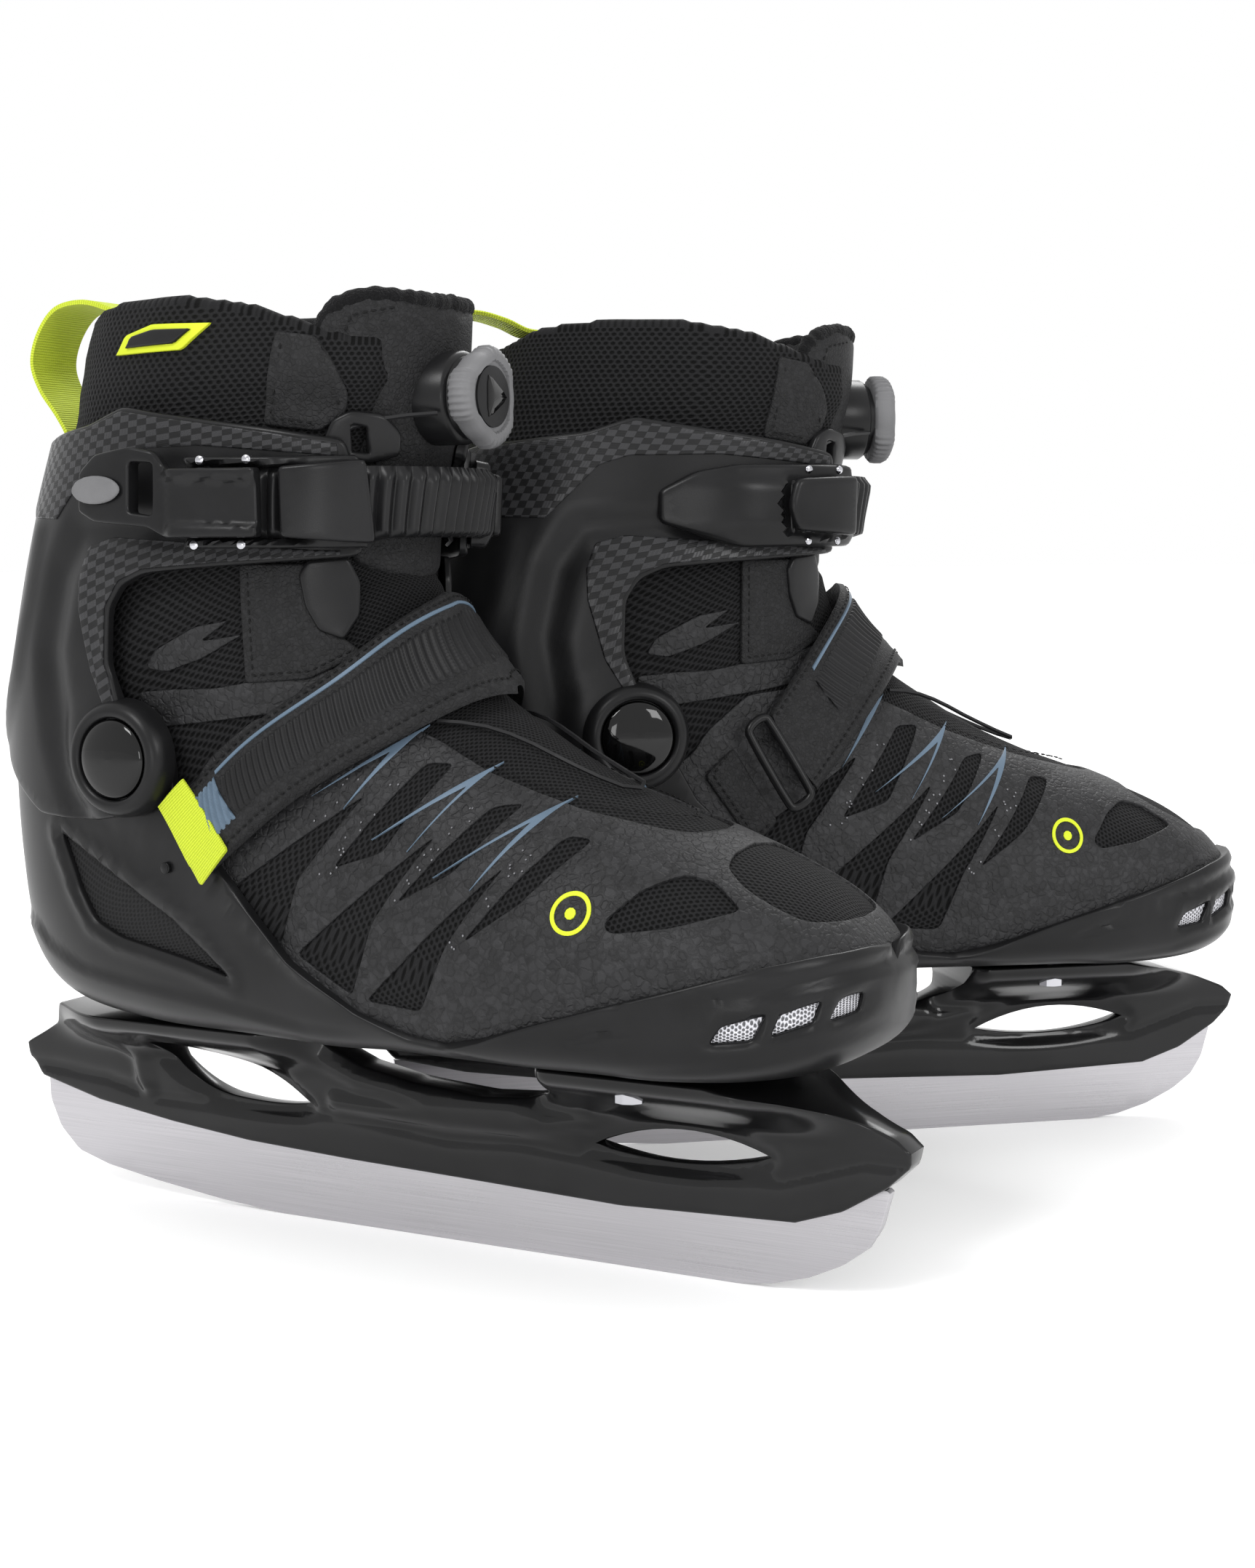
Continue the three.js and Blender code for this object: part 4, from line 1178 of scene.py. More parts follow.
@dataclass(frozen=True)
class Finish:
    """One material: its two tones, gloss and pattern sizes in mm."""

    name: str
    slot: str
    dark: tuple[float, float, float]
    light: tuple[float, float, float]
    rough: float
    pattern: Pattern = Pattern.PLAIN
    scale: float = 1.0
    bump: float = 0.1
    wear: float = 0.1
    metallic: float = 0.0
    coat: float = 0.0
    sheen: float = 0.0
    specular: float = 0.2
    by_uv: bool = True

    def material(self, groups: Groups) -> bpy.types.Material:
        """Builds the node material.

        Args:
            groups: the shared groups.

        Returns:
            The material.
        """
        made = bpy.data.materials.new(self.name)
        made.use_nodes = True
        tree = made.node_tree
        w = Wiring(tree)
        shader = next(n for n in tree.nodes if n.type == "BSDF_PRINCIPLED")
        where = w.node("ShaderNodeTexCoord")
        solid = w.vector("SCALE", where.outputs["Object"], scale=1000.0).outputs[0]
        place = w.vector("SCALE", where.outputs["UV"], scale=1000.0).outputs[0] if self.by_uv else solid
        wear = self.use(w, groups.wear, {"Place": solid, "Amount": self.wear})
        dark, light = (*self.dark, 1.0), (*self.light, 1.0)
        rough = w.maths("ADD", self.rough, wear["Rough"])
        share: object = wear["Tone"]
        height: object = wear["Height"]
        if self.pattern is Pattern.MESH:
            weave = self.use(w, groups.mesh, {"Place": place, "Cell": self.scale})
            # Colour: the holes get the dark tone, which is painted shade in the openings together with the dark layer
            # behind; the yarn between them varies at random.
            share = w.maths("MULTIPLY", w.maths("SUBTRACT", 1.0, weave["Hole"]),
                            w.maths("ADD", 0.45, w.maths("MULTIPLY", weave["Tone"], 0.8)))
            height = weave["Height"]
        elif self.pattern is Pattern.PEBBLE:
            grain = self.use(w, groups.pebble, {"Place": solid, "Size": self.scale})
            # Colour: painted shade darkens the grain's creases, and the rest of the tone varies at random from cell
            # to cell.
            share = w.maths("ADD", w.maths("MULTIPLY", grain["Crease"], 0.35),
                            w.maths("MULTIPLY", grain["Tone"], 0.65))
            height = grain["Height"]
        elif self.pattern is Pattern.CHECK:
            check = self.use(w, groups.check, {"Place": place, "Cell": self.scale})
            share, height = check["Square"], check["Height"]
            rough = w.maths("ADD", rough, w.maths("MULTIPLY", check["Square"], -0.12))
        elif self.pattern is Pattern.RIB:
            rib = self.use(w, groups.rib, {"Place": place, "Pitch": self.scale})
            # The rib tone is painted shade in the troughs and painted highlight on the crests.
            share, height = rib["Tone"], rib["Height"]
        elif self.pattern in (Pattern.BRUSHED, Pattern.PILE):
            streak = w.node("ShaderNodeTexNoise", noise_dimensions="3D")
            stretch = (0.02, 3.5, 1.0) if self.pattern is Pattern.BRUSHED else (1.4, 1.4, 1.4)
            w.put(streak.inputs["Vector"], w.vector("MULTIPLY", place, stretch).outputs[0])
            streak.inputs["Scale"].default_value = 1.0 / self.scale
            streak.inputs["Detail"].default_value = 6.0
            share, height = streak.outputs["Fac"], streak.outputs["Fac"]
            spread = 0.14 if self.pattern is Pattern.BRUSHED else 0.0
            marks = w.maths("MULTIPLY", w.maths("SUBTRACT", streak.outputs["Fac"], 0.5), spread)
            rough = w.maths("ADD", rough, marks)
        w.put(shader.inputs["Base Color"], w.mix(share, dark, light))
        w.put(shader.inputs["Roughness"], w.maths("MAXIMUM", rough, 0.04))
        bump = w.node("ShaderNodeBump")
        bump.inputs["Strength"].default_value = 1.0
        bump.inputs["Distance"].default_value = self.bump * MM
        w.put(bump.inputs["Height"], height)
        w.put(shader.inputs["Normal"], bump.outputs["Normal"])
        shader.inputs["Metallic"].default_value = self.metallic
        shader.inputs["Coat Weight"].default_value = self.coat
        shader.inputs["Coat Roughness"].default_value = 0.06
        shader.inputs["Sheen Weight"].default_value = self.sheen
        shader.inputs["Sheen Roughness"].default_value = 0.4
        shader.inputs["Specular IOR Level"].default_value = self.specular
        return made

    @staticmethod
    def use(w: Wiring, group: Group, values: dict[str, object]) -> dict[str, bpy.types.NodeSocket]:
        """Places a group in the material and returns its outputs by name.

        Args:
            w: the wiring of the material.
            group: the node group.
            values: its inputs by name.

        Returns:
            The group's outputs by name.
        """
        made = w.node("ShaderNodeGroup", node_tree=group.tree)
        for name, value in values.items():
            w.put(made.inputs[name], value)
        return {name: made.outputs[name] for name in group.outputs}


def grey(tone: float, blue: float = 1.06) -> tuple[float, float, float]:
    """A near-neutral colour, slightly cool."""
    return tone, tone, tone * blue


class Paint(Enum):
    """The finishes of the skates."""

    STEEL = Finish("brushed steel", "steel", (0.36, 0.35, 0.37), (0.56, 0.55, 0.57), 0.3, Pattern.BRUSHED,
                   scale=1.0, bump=0.006, wear=0.1, metallic=1.0)
    CHROME = Finish("bright steel", "bolt_steel", grey(0.4), grey(0.55), 0.16, bump=0.004, metallic=1.0)
    HOLDER = Finish("gloss moulding", "holder_plastic", grey(0.004), grey(0.008), 0.17, bump=0.012,
                    wear=0.1, coat=0.2)
    SHELL = Finish("satin moulding", "shell_plastic", grey(0.006), grey(0.010), 0.33, bump=0.02, wear=0.12)
    BUCKLE = Finish("buckle moulding", "buckle_plastic", grey(0.006), grey(0.011), 0.3, bump=0.02, wear=0.1)
    CAP = Finish("gloss cap", "cap_gloss", grey(0.001), grey(0.0015), 0.05, bump=0.001, wear=0.02, coat=0.3)
    CHECK = Finish("carbon check trim", "carbon_trim", grey(0.008), grey(0.032), 0.4, Pattern.CHECK,
                   scale=1.9, bump=0.08, wear=0.05)
    MESH = Finish("spacer mesh", "mesh_fabric", grey(0.001), grey(0.014), 0.8, Pattern.MESH, scale=1.7,
                  bump=0.45, sheen=0.02, specular=0.12)
    LEATHER = Finish("pebbled overlay", "upper_leather", grey(0.0085), grey(0.024), 0.5, Pattern.PEBBLE, scale=2.6,
                     bump=0.16, specular=0.22, by_uv=False)
    SUEDE = Finish("strap leather", "strap_leather", grey(0.006), grey(0.015), 0.58, Pattern.PEBBLE, scale=1.5,
                   bump=0.12, sheen=0.02, specular=0.2, by_uv=False)
    FLEECE = Finish("pile lining", "lining_fleece", grey(0.002), grey(0.014), 0.95, Pattern.PILE, scale=0.8,
                    bump=0.9, sheen=0.08, specular=0.1, by_uv=False)
    WINDOW = Finish("plain weave", "window_fabric", grey(0.003), grey(0.012), 0.75, Pattern.MESH, scale=1.1,
                    bump=0.2, specular=0.25)
    SILVER = Finish("silver mesh", "silver_mesh", grey(0.12), grey(0.75), 0.35, Pattern.MESH, scale=1.1,
                    bump=0.3, metallic=0.5)
    GREY = Finish("grey rubber", "grey_rubber", grey(0.115, 1.03), grey(0.16, 1.03), 0.5, bump=0.05, wear=0.15)
    RUBBER = Finish("dark rubber", "dark_rubber", grey(0.007), grey(0.013), 0.48, bump=0.03, wear=0.12)
    PRINT = Finish("slate print", "print_blue", (0.085, 0.125, 0.17), (0.11, 0.155, 0.21), 0.45, bump=0.03)
    LIME = Finish("lime webbing", "lime_webbing", (0.42, 0.52, 0.02), (0.58, 0.68, 0.045), 0.65, Pattern.RIB,
                  scale=0.85,
                  bump=0.1, sheen=0.05)
    LIME_PRINT = Finish("lime print", "lime_print", (0.52, 0.6, 0.02), (0.58, 0.66, 0.03), 0.5, bump=0.03)
    THREAD = Finish("stitch thread", "stitch_thread", grey(0.002), grey(0.004), 0.6, bump=0.05, by_uv=False)
    LACE = Finish("lace cord", "lace_cord", grey(0.006), grey(0.02), 0.4, Pattern.RIB, scale=0.6, bump=0.05)
    SPECK = Finish("silver dots", "silver_mesh", grey(0.14), grey(0.22), 0.45, bump=0.01, metallic=0.3)


class Shop:
    """Turns shapes into pieces of both skates."""

    def __init__(self, frame: dict) -> None:
        """Reads where the two skates stand from their cuff hinges, and makes the materials.
        """
        joints = {j["name"]: j for j in frame["joints"]}
        self.places: dict[Side, tuple[Array, float]] = {}
        for side in Side:
            hinge = joints[f"{side.word}_cuff_flex"]
            yaw = math.atan2(-hinge["axis"][0], hinge["axis"][1])
            self.places[side] = (np.array([hinge["pos_m"][0], hinge["pos_m"][1], 0.0]), yaw)
        groups = Groups()
        self.materials = {paint: paint.value.material(groups) for paint in Paint}
        self.nodes = frame["nodes"]
        self.count = 0

    def place(self, points: Array, side: Side) -> Array:
        """Skate millimetres to frame metres: mirrored for the right, turned by the yaw and moved.

        Args:
            points: points in skate millimetres.
            side: the skate.

        Returns:
            Points in frame metres.
        """
        pivot, yaw = self.places[side]
        x, y, z = (points * [1, side.value, 1] * MM).T
        cos, sin = math.cos(yaw), math.sin(yaw)
        return np.stack([cos * x - sin * y, sin * x + cos * y, z], 1) + pivot

    def piece(self, name: str, shape: Shape, paints: Paint | Sequence[Paint], body: str,
              replaces: Sequence[str] = (), sharp: float = 42.0,
              bend: Optional[tuple[Sequence[float], Sequence[float]]] = None) -> list[bpy.types.Object]:
        """Makes the piece for both skates.

        Args:
            name: the piece's name without its side.
            shape: its mesh data.
            paints: its finish or finishes.
            body: the body it rides on, without its side.
            replaces: the nodes that it stands for, without their side.
            sharp: edges over this many degrees stay sharp.
            bend: start and end places; when given, they are set into the frame but not used further, and the piece is
                baked in place instead of riding on the body.

        Returns:
            The two objects.
        """
        paints = [paints] if isinstance(paints, Paint) else list(paints)
        made = []
        for side in Side:
            mesh = bpy.data.meshes.new(f"{side.word}_{name}")
            points = self.place(shape.points, side)
            faces = [f if side is Side.LEFT else f[:, ::-1] for f in shape.faces]
            loops = np.concatenate([f.ravel() for f in faces])
            sizes = np.concatenate([np.full(len(f), f.shape[1]) for f in faces])
            mesh.vertices.add(len(points))
            mesh.vertices.foreach_set("co", points.astype(np.float32).ravel())
            mesh.loops.add(len(loops))
            mesh.loops.foreach_set("vertex_index", loops.astype(np.int32))
            mesh.polygons.add(len(sizes))
            mesh.polygons.foreach_set("loop_start", np.r_[0, np.cumsum(sizes)[:-1]].astype(np.int32))
            mesh.update(calc_edges=True)
            mesh.validate()
            layer = mesh.uv_layers.new(name="surface")
            index = np.zeros(len(mesh.loops), np.int32)
            mesh.loops.foreach_get("vertex_index", index)
            layer.data.foreach_set("uv", (shape.uv[index] * MM).astype(np.float32).ravel())
            for paint in paints:
                mesh.materials.append(self.materials[paint])
            if len(paints) > 1 and len(mesh.polygons) == len(sizes):
                mesh.polygons.foreach_set("material_index", np.concatenate(shape.paint).astype(np.int32))
            mesh.shade_smooth()
            mesh.set_sharp_from_angle(angle=math.radians(sharp))
            obj = bpy.data.objects.new(f"{side.word}_{name}", mesh)
            bpy.context.scene.collection.objects.link(obj)
            if bend is None:
                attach(obj, f"{side.word}_{body}")
            else:
                ends = self.place(np.array(bend, float), side)
                tuple(ends[0])
                tuple(ends[1])
                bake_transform(obj)
            if replaces:
                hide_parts(*[f"{side.word}_{node}" for node in replaces])
            made.append(obj)
            self.count += 1
        log.info("%s: %d points", name, len(shape.points))
        return made

    def keep(self, paint: Paint, *nodes: str) -> None:
        """Gives carried-over nodes of both skates a finish.

        Args:
            paint: the finish.
            nodes: node names without the side's word.
        """
        for side in Side:
            for node in nodes:
                obj = self.nodes[f"{side.word}_{node}"]
                for slot in obj.material_slots:
                    slot.material = self.materials[paint]


# ---------------------------------------------------------------- shape helpers
def bent(start: tuple[float, float], *pairs: tuple[tuple[float, float], tuple[float, float]]) -> Array:
    """A closed outline of quadratic curves: each pair is a control place and an end place.

    Args:
        start: the first place.
        pairs: a control place and an end place, again and again.

    Returns:
        The outline, n by 2.
    """
    t = np.linspace(0, 1, 13)[1:, None]
    at, run = np.array(start, float), []
    for control, end in pairs:
        c, e = np.array(control, float), np.array(end, float)
        run.append((1 - t) ** 2 * at + 2 * t * (1 - t) * c + t ** 2 * e)
        at = e
    return np.vstack(run)


def across(outside: Points2, within: Points2, soft: float = 1.5, step: float = 1.5, height: float = 0.0) -> Array:
    """An outline over the instep: side-view places on the outer side, then on the inner side."""
    one, two = (outline(p, soft, step, closed=False) for p in (outside, within))
    return np.vstack([raised(one, height), raised(two, height) * [1, -1]])


def stood(shape: Shape, x: float, z: float, side: int = 1, height: float = 0.0) -> Shape:
    """Stands a shape, made about the z axis at the origin, on the boot's skin along its normal.

    Args:
        shape: the shape; it is copied.
        x: side-view place.
        z: side-view place.
        side: 1 for the outer side, -1 for the inner.
        height: height of the shape's origin over the skin.

    Returns:
        The placed shape.
    """
    place = raised(np.array([[x, z]], float), height) * [1, side]
    base, up = BOOT.at(place, height)[0], BOOT.normal(place[:, 0], place[:, 1])[0]
    one = unit(np.cross([0.0, 0.0, 1.0], up))
    two = np.cross(up, one)
    turned = shape.points @ np.stack([one, two, up]) + base
    return outward(Shape(turned, list(shape.faces), shape.uv, list(shape.paint)))


def disc(radius: float, low: float, high: float, dome: float = 0.0, edge: float = 0.5, sides: int = 40) -> Shape:
    """A round button about the z axis with an eased edge and a dome on top.

    Args:
        radius: radius of the button.
        low: lower end along z.
        high: upper end along z.
        dome: height of the dome.
        edge: radius of the eased edge.
        sides: how many steps round.

    Returns:
        The closed shape.
    """
    turn = np.radians(np.linspace(0, 90, 5))
    rim = [(radius - edge + edge * math.cos(t), high - edge + edge * math.sin(t)) for t in turn]
    crown = [(radius * f, high + dome * (1 - f * f)) for f in (0.8, 0.55, 0.3, 0.1, 0.001)]
    return lathe([(0.001, low), (radius, low)] + rim + crown, (0, 0, 0), "z", sides)


def mirrored(shape: Shape) -> Shape:
    """The same shape on the other side of the boot."""
    return outward(Shape(shape.points * [1, -1, 1], list(shape.faces), shape.uv, list(shape.paint)))


def over_instep(outside: Points2, within: Points2, count: int = 220, passes: int = 60, height: float = 0.0) -> Array:
    """An eased open line of (row, angle) pairs from the outer side over the instep to the inner side.

    Args:
        outside: side-view places on the outer side.
        within: side-view places on the inner side.
        count: how many places come out.
        passes: how often the line is eased.
        height: height over the skin in mm.

    Returns:
        (row, angle) pairs.
    """
    line = across(outside, within, 3.0, 1.2, height)
    for _ in range(passes):
        line[1:-1] = line[1:-1] * 0.5 + (line[:-2] + line[2:]) * 0.25
    run = np.r_[0, np.cumsum(np.linalg.norm(np.diff(BOOT.at(line, 0.0), axis=0), axis=1))]
    where = np.linspace(0, run[-1], count)
    return np.stack([np.interp(where, run, line[:, k]) for k in range(2)], 1)


def ribbon(upper: Array, lower: Array, low: float, high: Callable[[Array, Array], Array], wide: int = 25,
           span: tuple[float, float] = (0.0, 1.0)) -> Shape:
    """A band between two lines of (row, angle) pairs, closed, as a grid along and across.

    Args:
        upper: one edge, n pairs.
        lower: the other edge, n pairs.
        low: height of the under side.
        high: height of the upper side from (millimetres along, share across).
        wide: places across.
        span: the share of the width that the band covers.

    Returns:
        The closed shape, its uv in millimetres along and across.
    """
    n = len(upper)
    share = np.linspace(*span, wide)
    place = (upper[:, None] * (1 - share[None, :, None]) + lower[:, None] * share[None, :, None]).reshape(-1, 2)
    base = BOOT.at(place, 0.0).reshape(n, wide, 3)
    run = np.r_[0, np.cumsum(np.linalg.norm(np.diff(base[:, wide // 2], axis=0), axis=1))]
    breadth = np.linalg.norm(base[:, -1] - base[:, 0], axis=1)
    along, part = np.repeat(run, wide), np.tile(share, n)
    local = (part - span[0]) / (span[1] - span[0])
    ease = np.sqrt(np.clip(1 - np.abs(2 * local - 1) ** 14, 0, 1))
    tall = low + (high(along, part) - low) * ease
    top = BOOT.at(place, tall).reshape(n, wide, 3)
    under = BOOT.at(place, low).reshape(n, wide, 3)[:, 1:-1][:, ::-1]
    ring = np.concatenate([top, under], 1)
    uv_top = np.stack([np.repeat(run[:, None], wide, 1), share[None] * breadth[:, None]], -1)
    uv = np.concatenate([uv_top, uv_top[:, 1:-1][:, ::-1]], 1).reshape(-1, 2)
    m = ring.shape[1]
    i, k = np.arange(n - 1)[:, None], np.arange(m)[None]
    quads = np.stack([i * m + k, i * m + (k + 1) % m, (i + 1) * m + (k + 1) % m, (i + 1) * m + k], -1).reshape(-1, 4)
    c = np.arange(wide - 1)
    far = (m - c) % m
    caps = [np.stack([c, c + 1, (m - c - 1) % m, far], 1)[1:-1]]
    tips = [np.array([[0, 1, m - 1], [wide - 1, wide, wide - 2]])]
    first = [f[:, ::-1] for f in caps + tips]
    last = [f + (n - 1) * m for f in caps + tips]
    faces = [quads, first[0], last[0], first[1], last[1]]
    return outward(Shape(ring.reshape(-1, 3), faces, uv))


def both(points: Points2, low: float | Relief, high: float | Relief, edge: float = 0.3, spacing: float = 2.2,
         soft: float = 1.2) -> Shape:
    """The same conforming panel on the outer and the inner side."""
    return join([panel(BOOT, [turn(points, soft, 1.3)], low, high, edge, spacing) for turn in (outer, inner)])


def side_view(points: Array) -> Array:
    """x and z of points."""
    return points[:, [0, 2]]


def loop_of(points: Points2) -> list[tuple[float, float]]:
    """A closed outline as a line that returns to its start."""
    return [*map(tuple, points), tuple(points[0])]


# ---------------------------------------------------------------- under the foot
@dataclass
class Undercarriage:
    """Runner and holder."""

    half_runner: float = 1.8
    half_web: float = 5.5
    rear_half: float = 23.6
    front_half: float = 28.6
    runner: Points2 = ((-73.8, 34), (-73.6, 27), (-69.5, 18), (-62, 11), (-50, 7.6), (-30, 4.6), (-5, 1.7), (20, 0),
                       (175, 0), (186, 1.4), (197, 4.6), (207, 9.4), (214, 14.6), (218, 21), (221, 32))
    holder: Points2 = ((-79, 41), (-79.5, 46), (-73, 49.5), (-65, 54), (-62, 61.2), (27, 61.2), (33, 60), (41, 55),
                       (52, 50.6), (70, 47.4), (94, 45.6), (110, 46.8), (119, 50), (122, 54), (123, 61.2),
                       (178, 61.2), (196, 57), (214, 51), (224, 47), (228, 43.5), (227.5, 39.5), (221, 33.2),
                       (208, 25.2), (194, 20.4), (140, 18.4), (86, 20), (47, 21), (9, 22.6), (-21, 25.5),
                       (-50, 29.4), (-74, 35.2))
    rail: Points2 = ((-69, 37), (-46, 35), (-27, 31), (6, 30.4), (43, 33), (82, 29.5), (106, 31), (140, 29),
                     (190, 30),
                     (214, 38))
    creases: tuple[Points2, ...] = (((-9, 65), (5, 59), (24, 58), (38, 51), (51, 46), (76, 42.4), (112, 43)),
                                    ((-56, 58), (-42, 53), (-32, 46), (-30, 36)),
                                    ((43, 38), (74, 38), (106, 38), (128, 42)))

    def thickness(self, place: Array, points: Array) -> Array:
        """Half the holder's thickness: the web, flared under the two sole plates, with ridges and a rail line.

        Args:
            place: (x, z) pairs.
            points: the points there.

        Returns:
            Half thicknesses in mm.
        """
        x, z = place[:, 0], place[:, 1]
        rise = smoothstep(45, 60, z)
        rear = rise * (1 - smoothstep(24, 40, x)) * smoothstep(-74, -34, x)
        front = smoothstep(43, 60, z) * smoothstep(112, 128, x) * (1 - smoothstep(180, 226, x))
        half = self.half_web + (self.rear_half - self.half_web) * rear + (self.front_half - self.half_web) * front
        rims = np.minimum(away(place, loop_of(self.rear_opening())), away(place, loop_of(self.front_opening())))
        half -= 2.2 * (1 - smoothstep(0.4, 5.5, rims))
        for line in self.creases:
            half += 1.9 * (1 - smoothstep(0.0, 5.0, away(place, line))) * (1 - rise)
        over = z - np.interp(x, *np.array(self.rail).T)
        return half - 1.3 * np.exp(-((over - 2.2) / 2.4) ** 2) - 0.5 * (1 - smoothstep(-2.0, 2.0, over))

    @staticmethod
    def rear_opening() -> Array:
        """The rear window of the holder."""
        return bent((-25, 51.5), ((-13, 38.5), (2, 36)), ((20, 34), (31, 36.4)), ((20, 46), (-4, 50.4)),
                    ((-16, 53.4), (-25, 51.5)))

    @staticmethod
    def front_opening() -> Array:
        """The front oval window."""
        return bent((131.2, 35.3), ((158, 48), (186.3, 37.4)), ((160, 29), (131.2, 35.3)))

    def build(self, shop: Shop) -> None:
        """Makes both pieces.

        Args:
            shop: where the pieces are made and dressed.
        """
        plane = FlatSkin((-84, -2), (232, 64))
        blade = panel(plane, [outline(self.runner, 0.6, 2.0)], 0, self.half_runner, 0.35, 4.0, twin=True)
        shop.piece("runner_blade", blade, Paint.STEEL, "chassis", ["runner"], sharp=28)
        holder = panel(plane, [outline(self.holder, 0.9, 1.6), self.rear_opening(), self.front_opening()],
                       0, self.thickness, 0.8, 1.7, twin=True)
        shop.piece("holder_frame", holder, Paint.HOLDER, "chassis", ["blade_holder"], sharp=50)
        shop.keep(Paint.CHROME, "front_bolt_lateral", "front_bolt_medial", "rear_bolt")


@dataclass
class SoleShell:
    """Hard lower shell: heel cup, windowed wings and toe bumper with its vents."""

    top: Points2 = ((217.2, 96.5), (214, 97.4), (208, 97), (198, 95.6), (184, 92), (165, 87), (145, 81), (122, 74),
                    (108, 71), (97, 72), (80, 77), (57, 89), (43, 102), (32, 113), (21, 124), (15, 135), (13, 150),
                    (6, 156), (-6, 157), (-14, 151), (-30, 150.4), (-68, 150.4))
    window: Points2 = ((-32, 121), (-13, 111), (12, 98), (34, 82.5), (18, 86.5), (-8, 91), (-18, 95), (-25, 105))
    ridge: Points2 = ((-35, 143), (-22, 133), (-3, 124), (6, 121), (19, 118), (39, 101), (62, 84), (87, 76),
                      (112, 71),
                      (140, 68), (166, 71))
    ledge: Points2 = ((-66, 95), (-48, 92), (-41, 87), (-26, 82), (0, 79), (27, 77), (60, 73))
    groove: Points2 = ((150, 76), (184, 87), (208, 92), (226, 95))
    low_line: Points2 = ((145, 68), (184, 71), (208, 76), (226, 82))
    vents: tuple[Points2, ...] = (((185.5, 76.5), (188.5, 81), (198.5, 84), (195.5, 77.5)),
                                  ((199.5, 78.5), (201.5, 84), (209.5, 87), (208, 81.5)),
                                  ((210.5, 81.5), (212.4, 87), (215.6, 88), (215, 83)))

    def height(self, place: Array, points: Array) -> Array:
        """The shell's outer height: a raised ridge, a bevelled window frame, ledge, bumper lip and groove.

        Args:
            place: (row, angle) pairs.
            points: the skin points at the places.

        Returns:
            Heights in mm.
        """
        flat = side_view(points)
        x, z = flat.T
        tall = np.full(len(flat), 3.3)
        above = z - np.interp(x, *np.array(self.ridge).T)
        tall += 1.1 * smoothstep(-1.6, 1.6, above) * (1 - smoothstep(112, 150, x)) * smoothstep(-40, -30, x)
        frame = away(flat, loop_of(self.window))
        tall += 0.9 * (1 - smoothstep(1.5, 6.5, frame)) - 1.6 * (1 - smoothstep(0.0, 2.4, frame))
        under = z - np.interp(x, *np.array(self.ledge).T)
        tall += 1.3 * (1 - smoothstep(-2.8, 0.4, under)) * (1 - smoothstep(60, 90, x))
        tall -= 0.9 * (1 - smoothstep(0.5, 2.0, away(flat, self.groove)))
        lip = z - np.interp(x, *np.array(self.groove).T)
        tall += 0.9 * smoothstep(0.5, 3.0, lip) * smoothstep(140, 160, x)
        below = 1 - smoothstep(-1.0, 1.0, z - np.interp(x, *np.array(self.low_line).T))
        tall += 0.7 * below * smoothstep(150, 170, x)
        for vent in self.vents:
            tall -= 0.9 * (1 - smoothstep(0.2, 1.6, away(flat, loop_of(vent))))
        return np.maximum(tall, 1.4)

    def build(self, shop: Shop) -> None:
        """Makes the shell, the fabric behind its windows, the mesh in the vents and the rivets.

        Args:
            shop: where the pieces are made and dressed.
        """
        holes = [place for vent in self.vents for place in (outer(vent, 0.7, 0.9), inner(vent, 0.7, 0.9))]
        windows = [outer(self.window, 1.6, 1.5), inner(self.window, 1.6, 1.5)]
        shell = panel(BOOT, [wrapped(self.top, 1.2, 1.8), *windows, *holes], 0.8, self.height, 0.7, 2.0)
        shop.piece("lower_shell", shell, Paint.SHELL, "chassis", ["sole_shell"], sharp=50)
        grown = [(x - 1.5 if x < 0 else x + 1.5, z + (1.5 if k < 4 else -1.5))
                 for k, (x, z) in enumerate(self.window)]
        cloth = join([panel(BOOT, [loop], 0.05, 0.75, 0.2, 2.4) for loop in (outer(grown), inner(grown))])
        shop.piece("shell_window_cloth", cloth, Paint.WINDOW, "chassis")
        mesh = join([panel(BOOT, [turn(vent, 0.2, 0.9)], 0.1, 0.9, 0.2, 1.6) for vent in self.vents
                     for turn in (outer, inner)])
        shop.piece("vent_mesh", mesh, Paint.SILVER, "chassis")
        rivet = disc(1.7, 0.5, 1.3, 0.35, 0.3, 20)
        studs = join([stood(rivet, x, z, side, 3.4) for side in (1, -1) for x, z in ((12, 113), (-60, 86))])
        shop.piece("shell_rivets", studs, Paint.BUCKLE, "chassis")


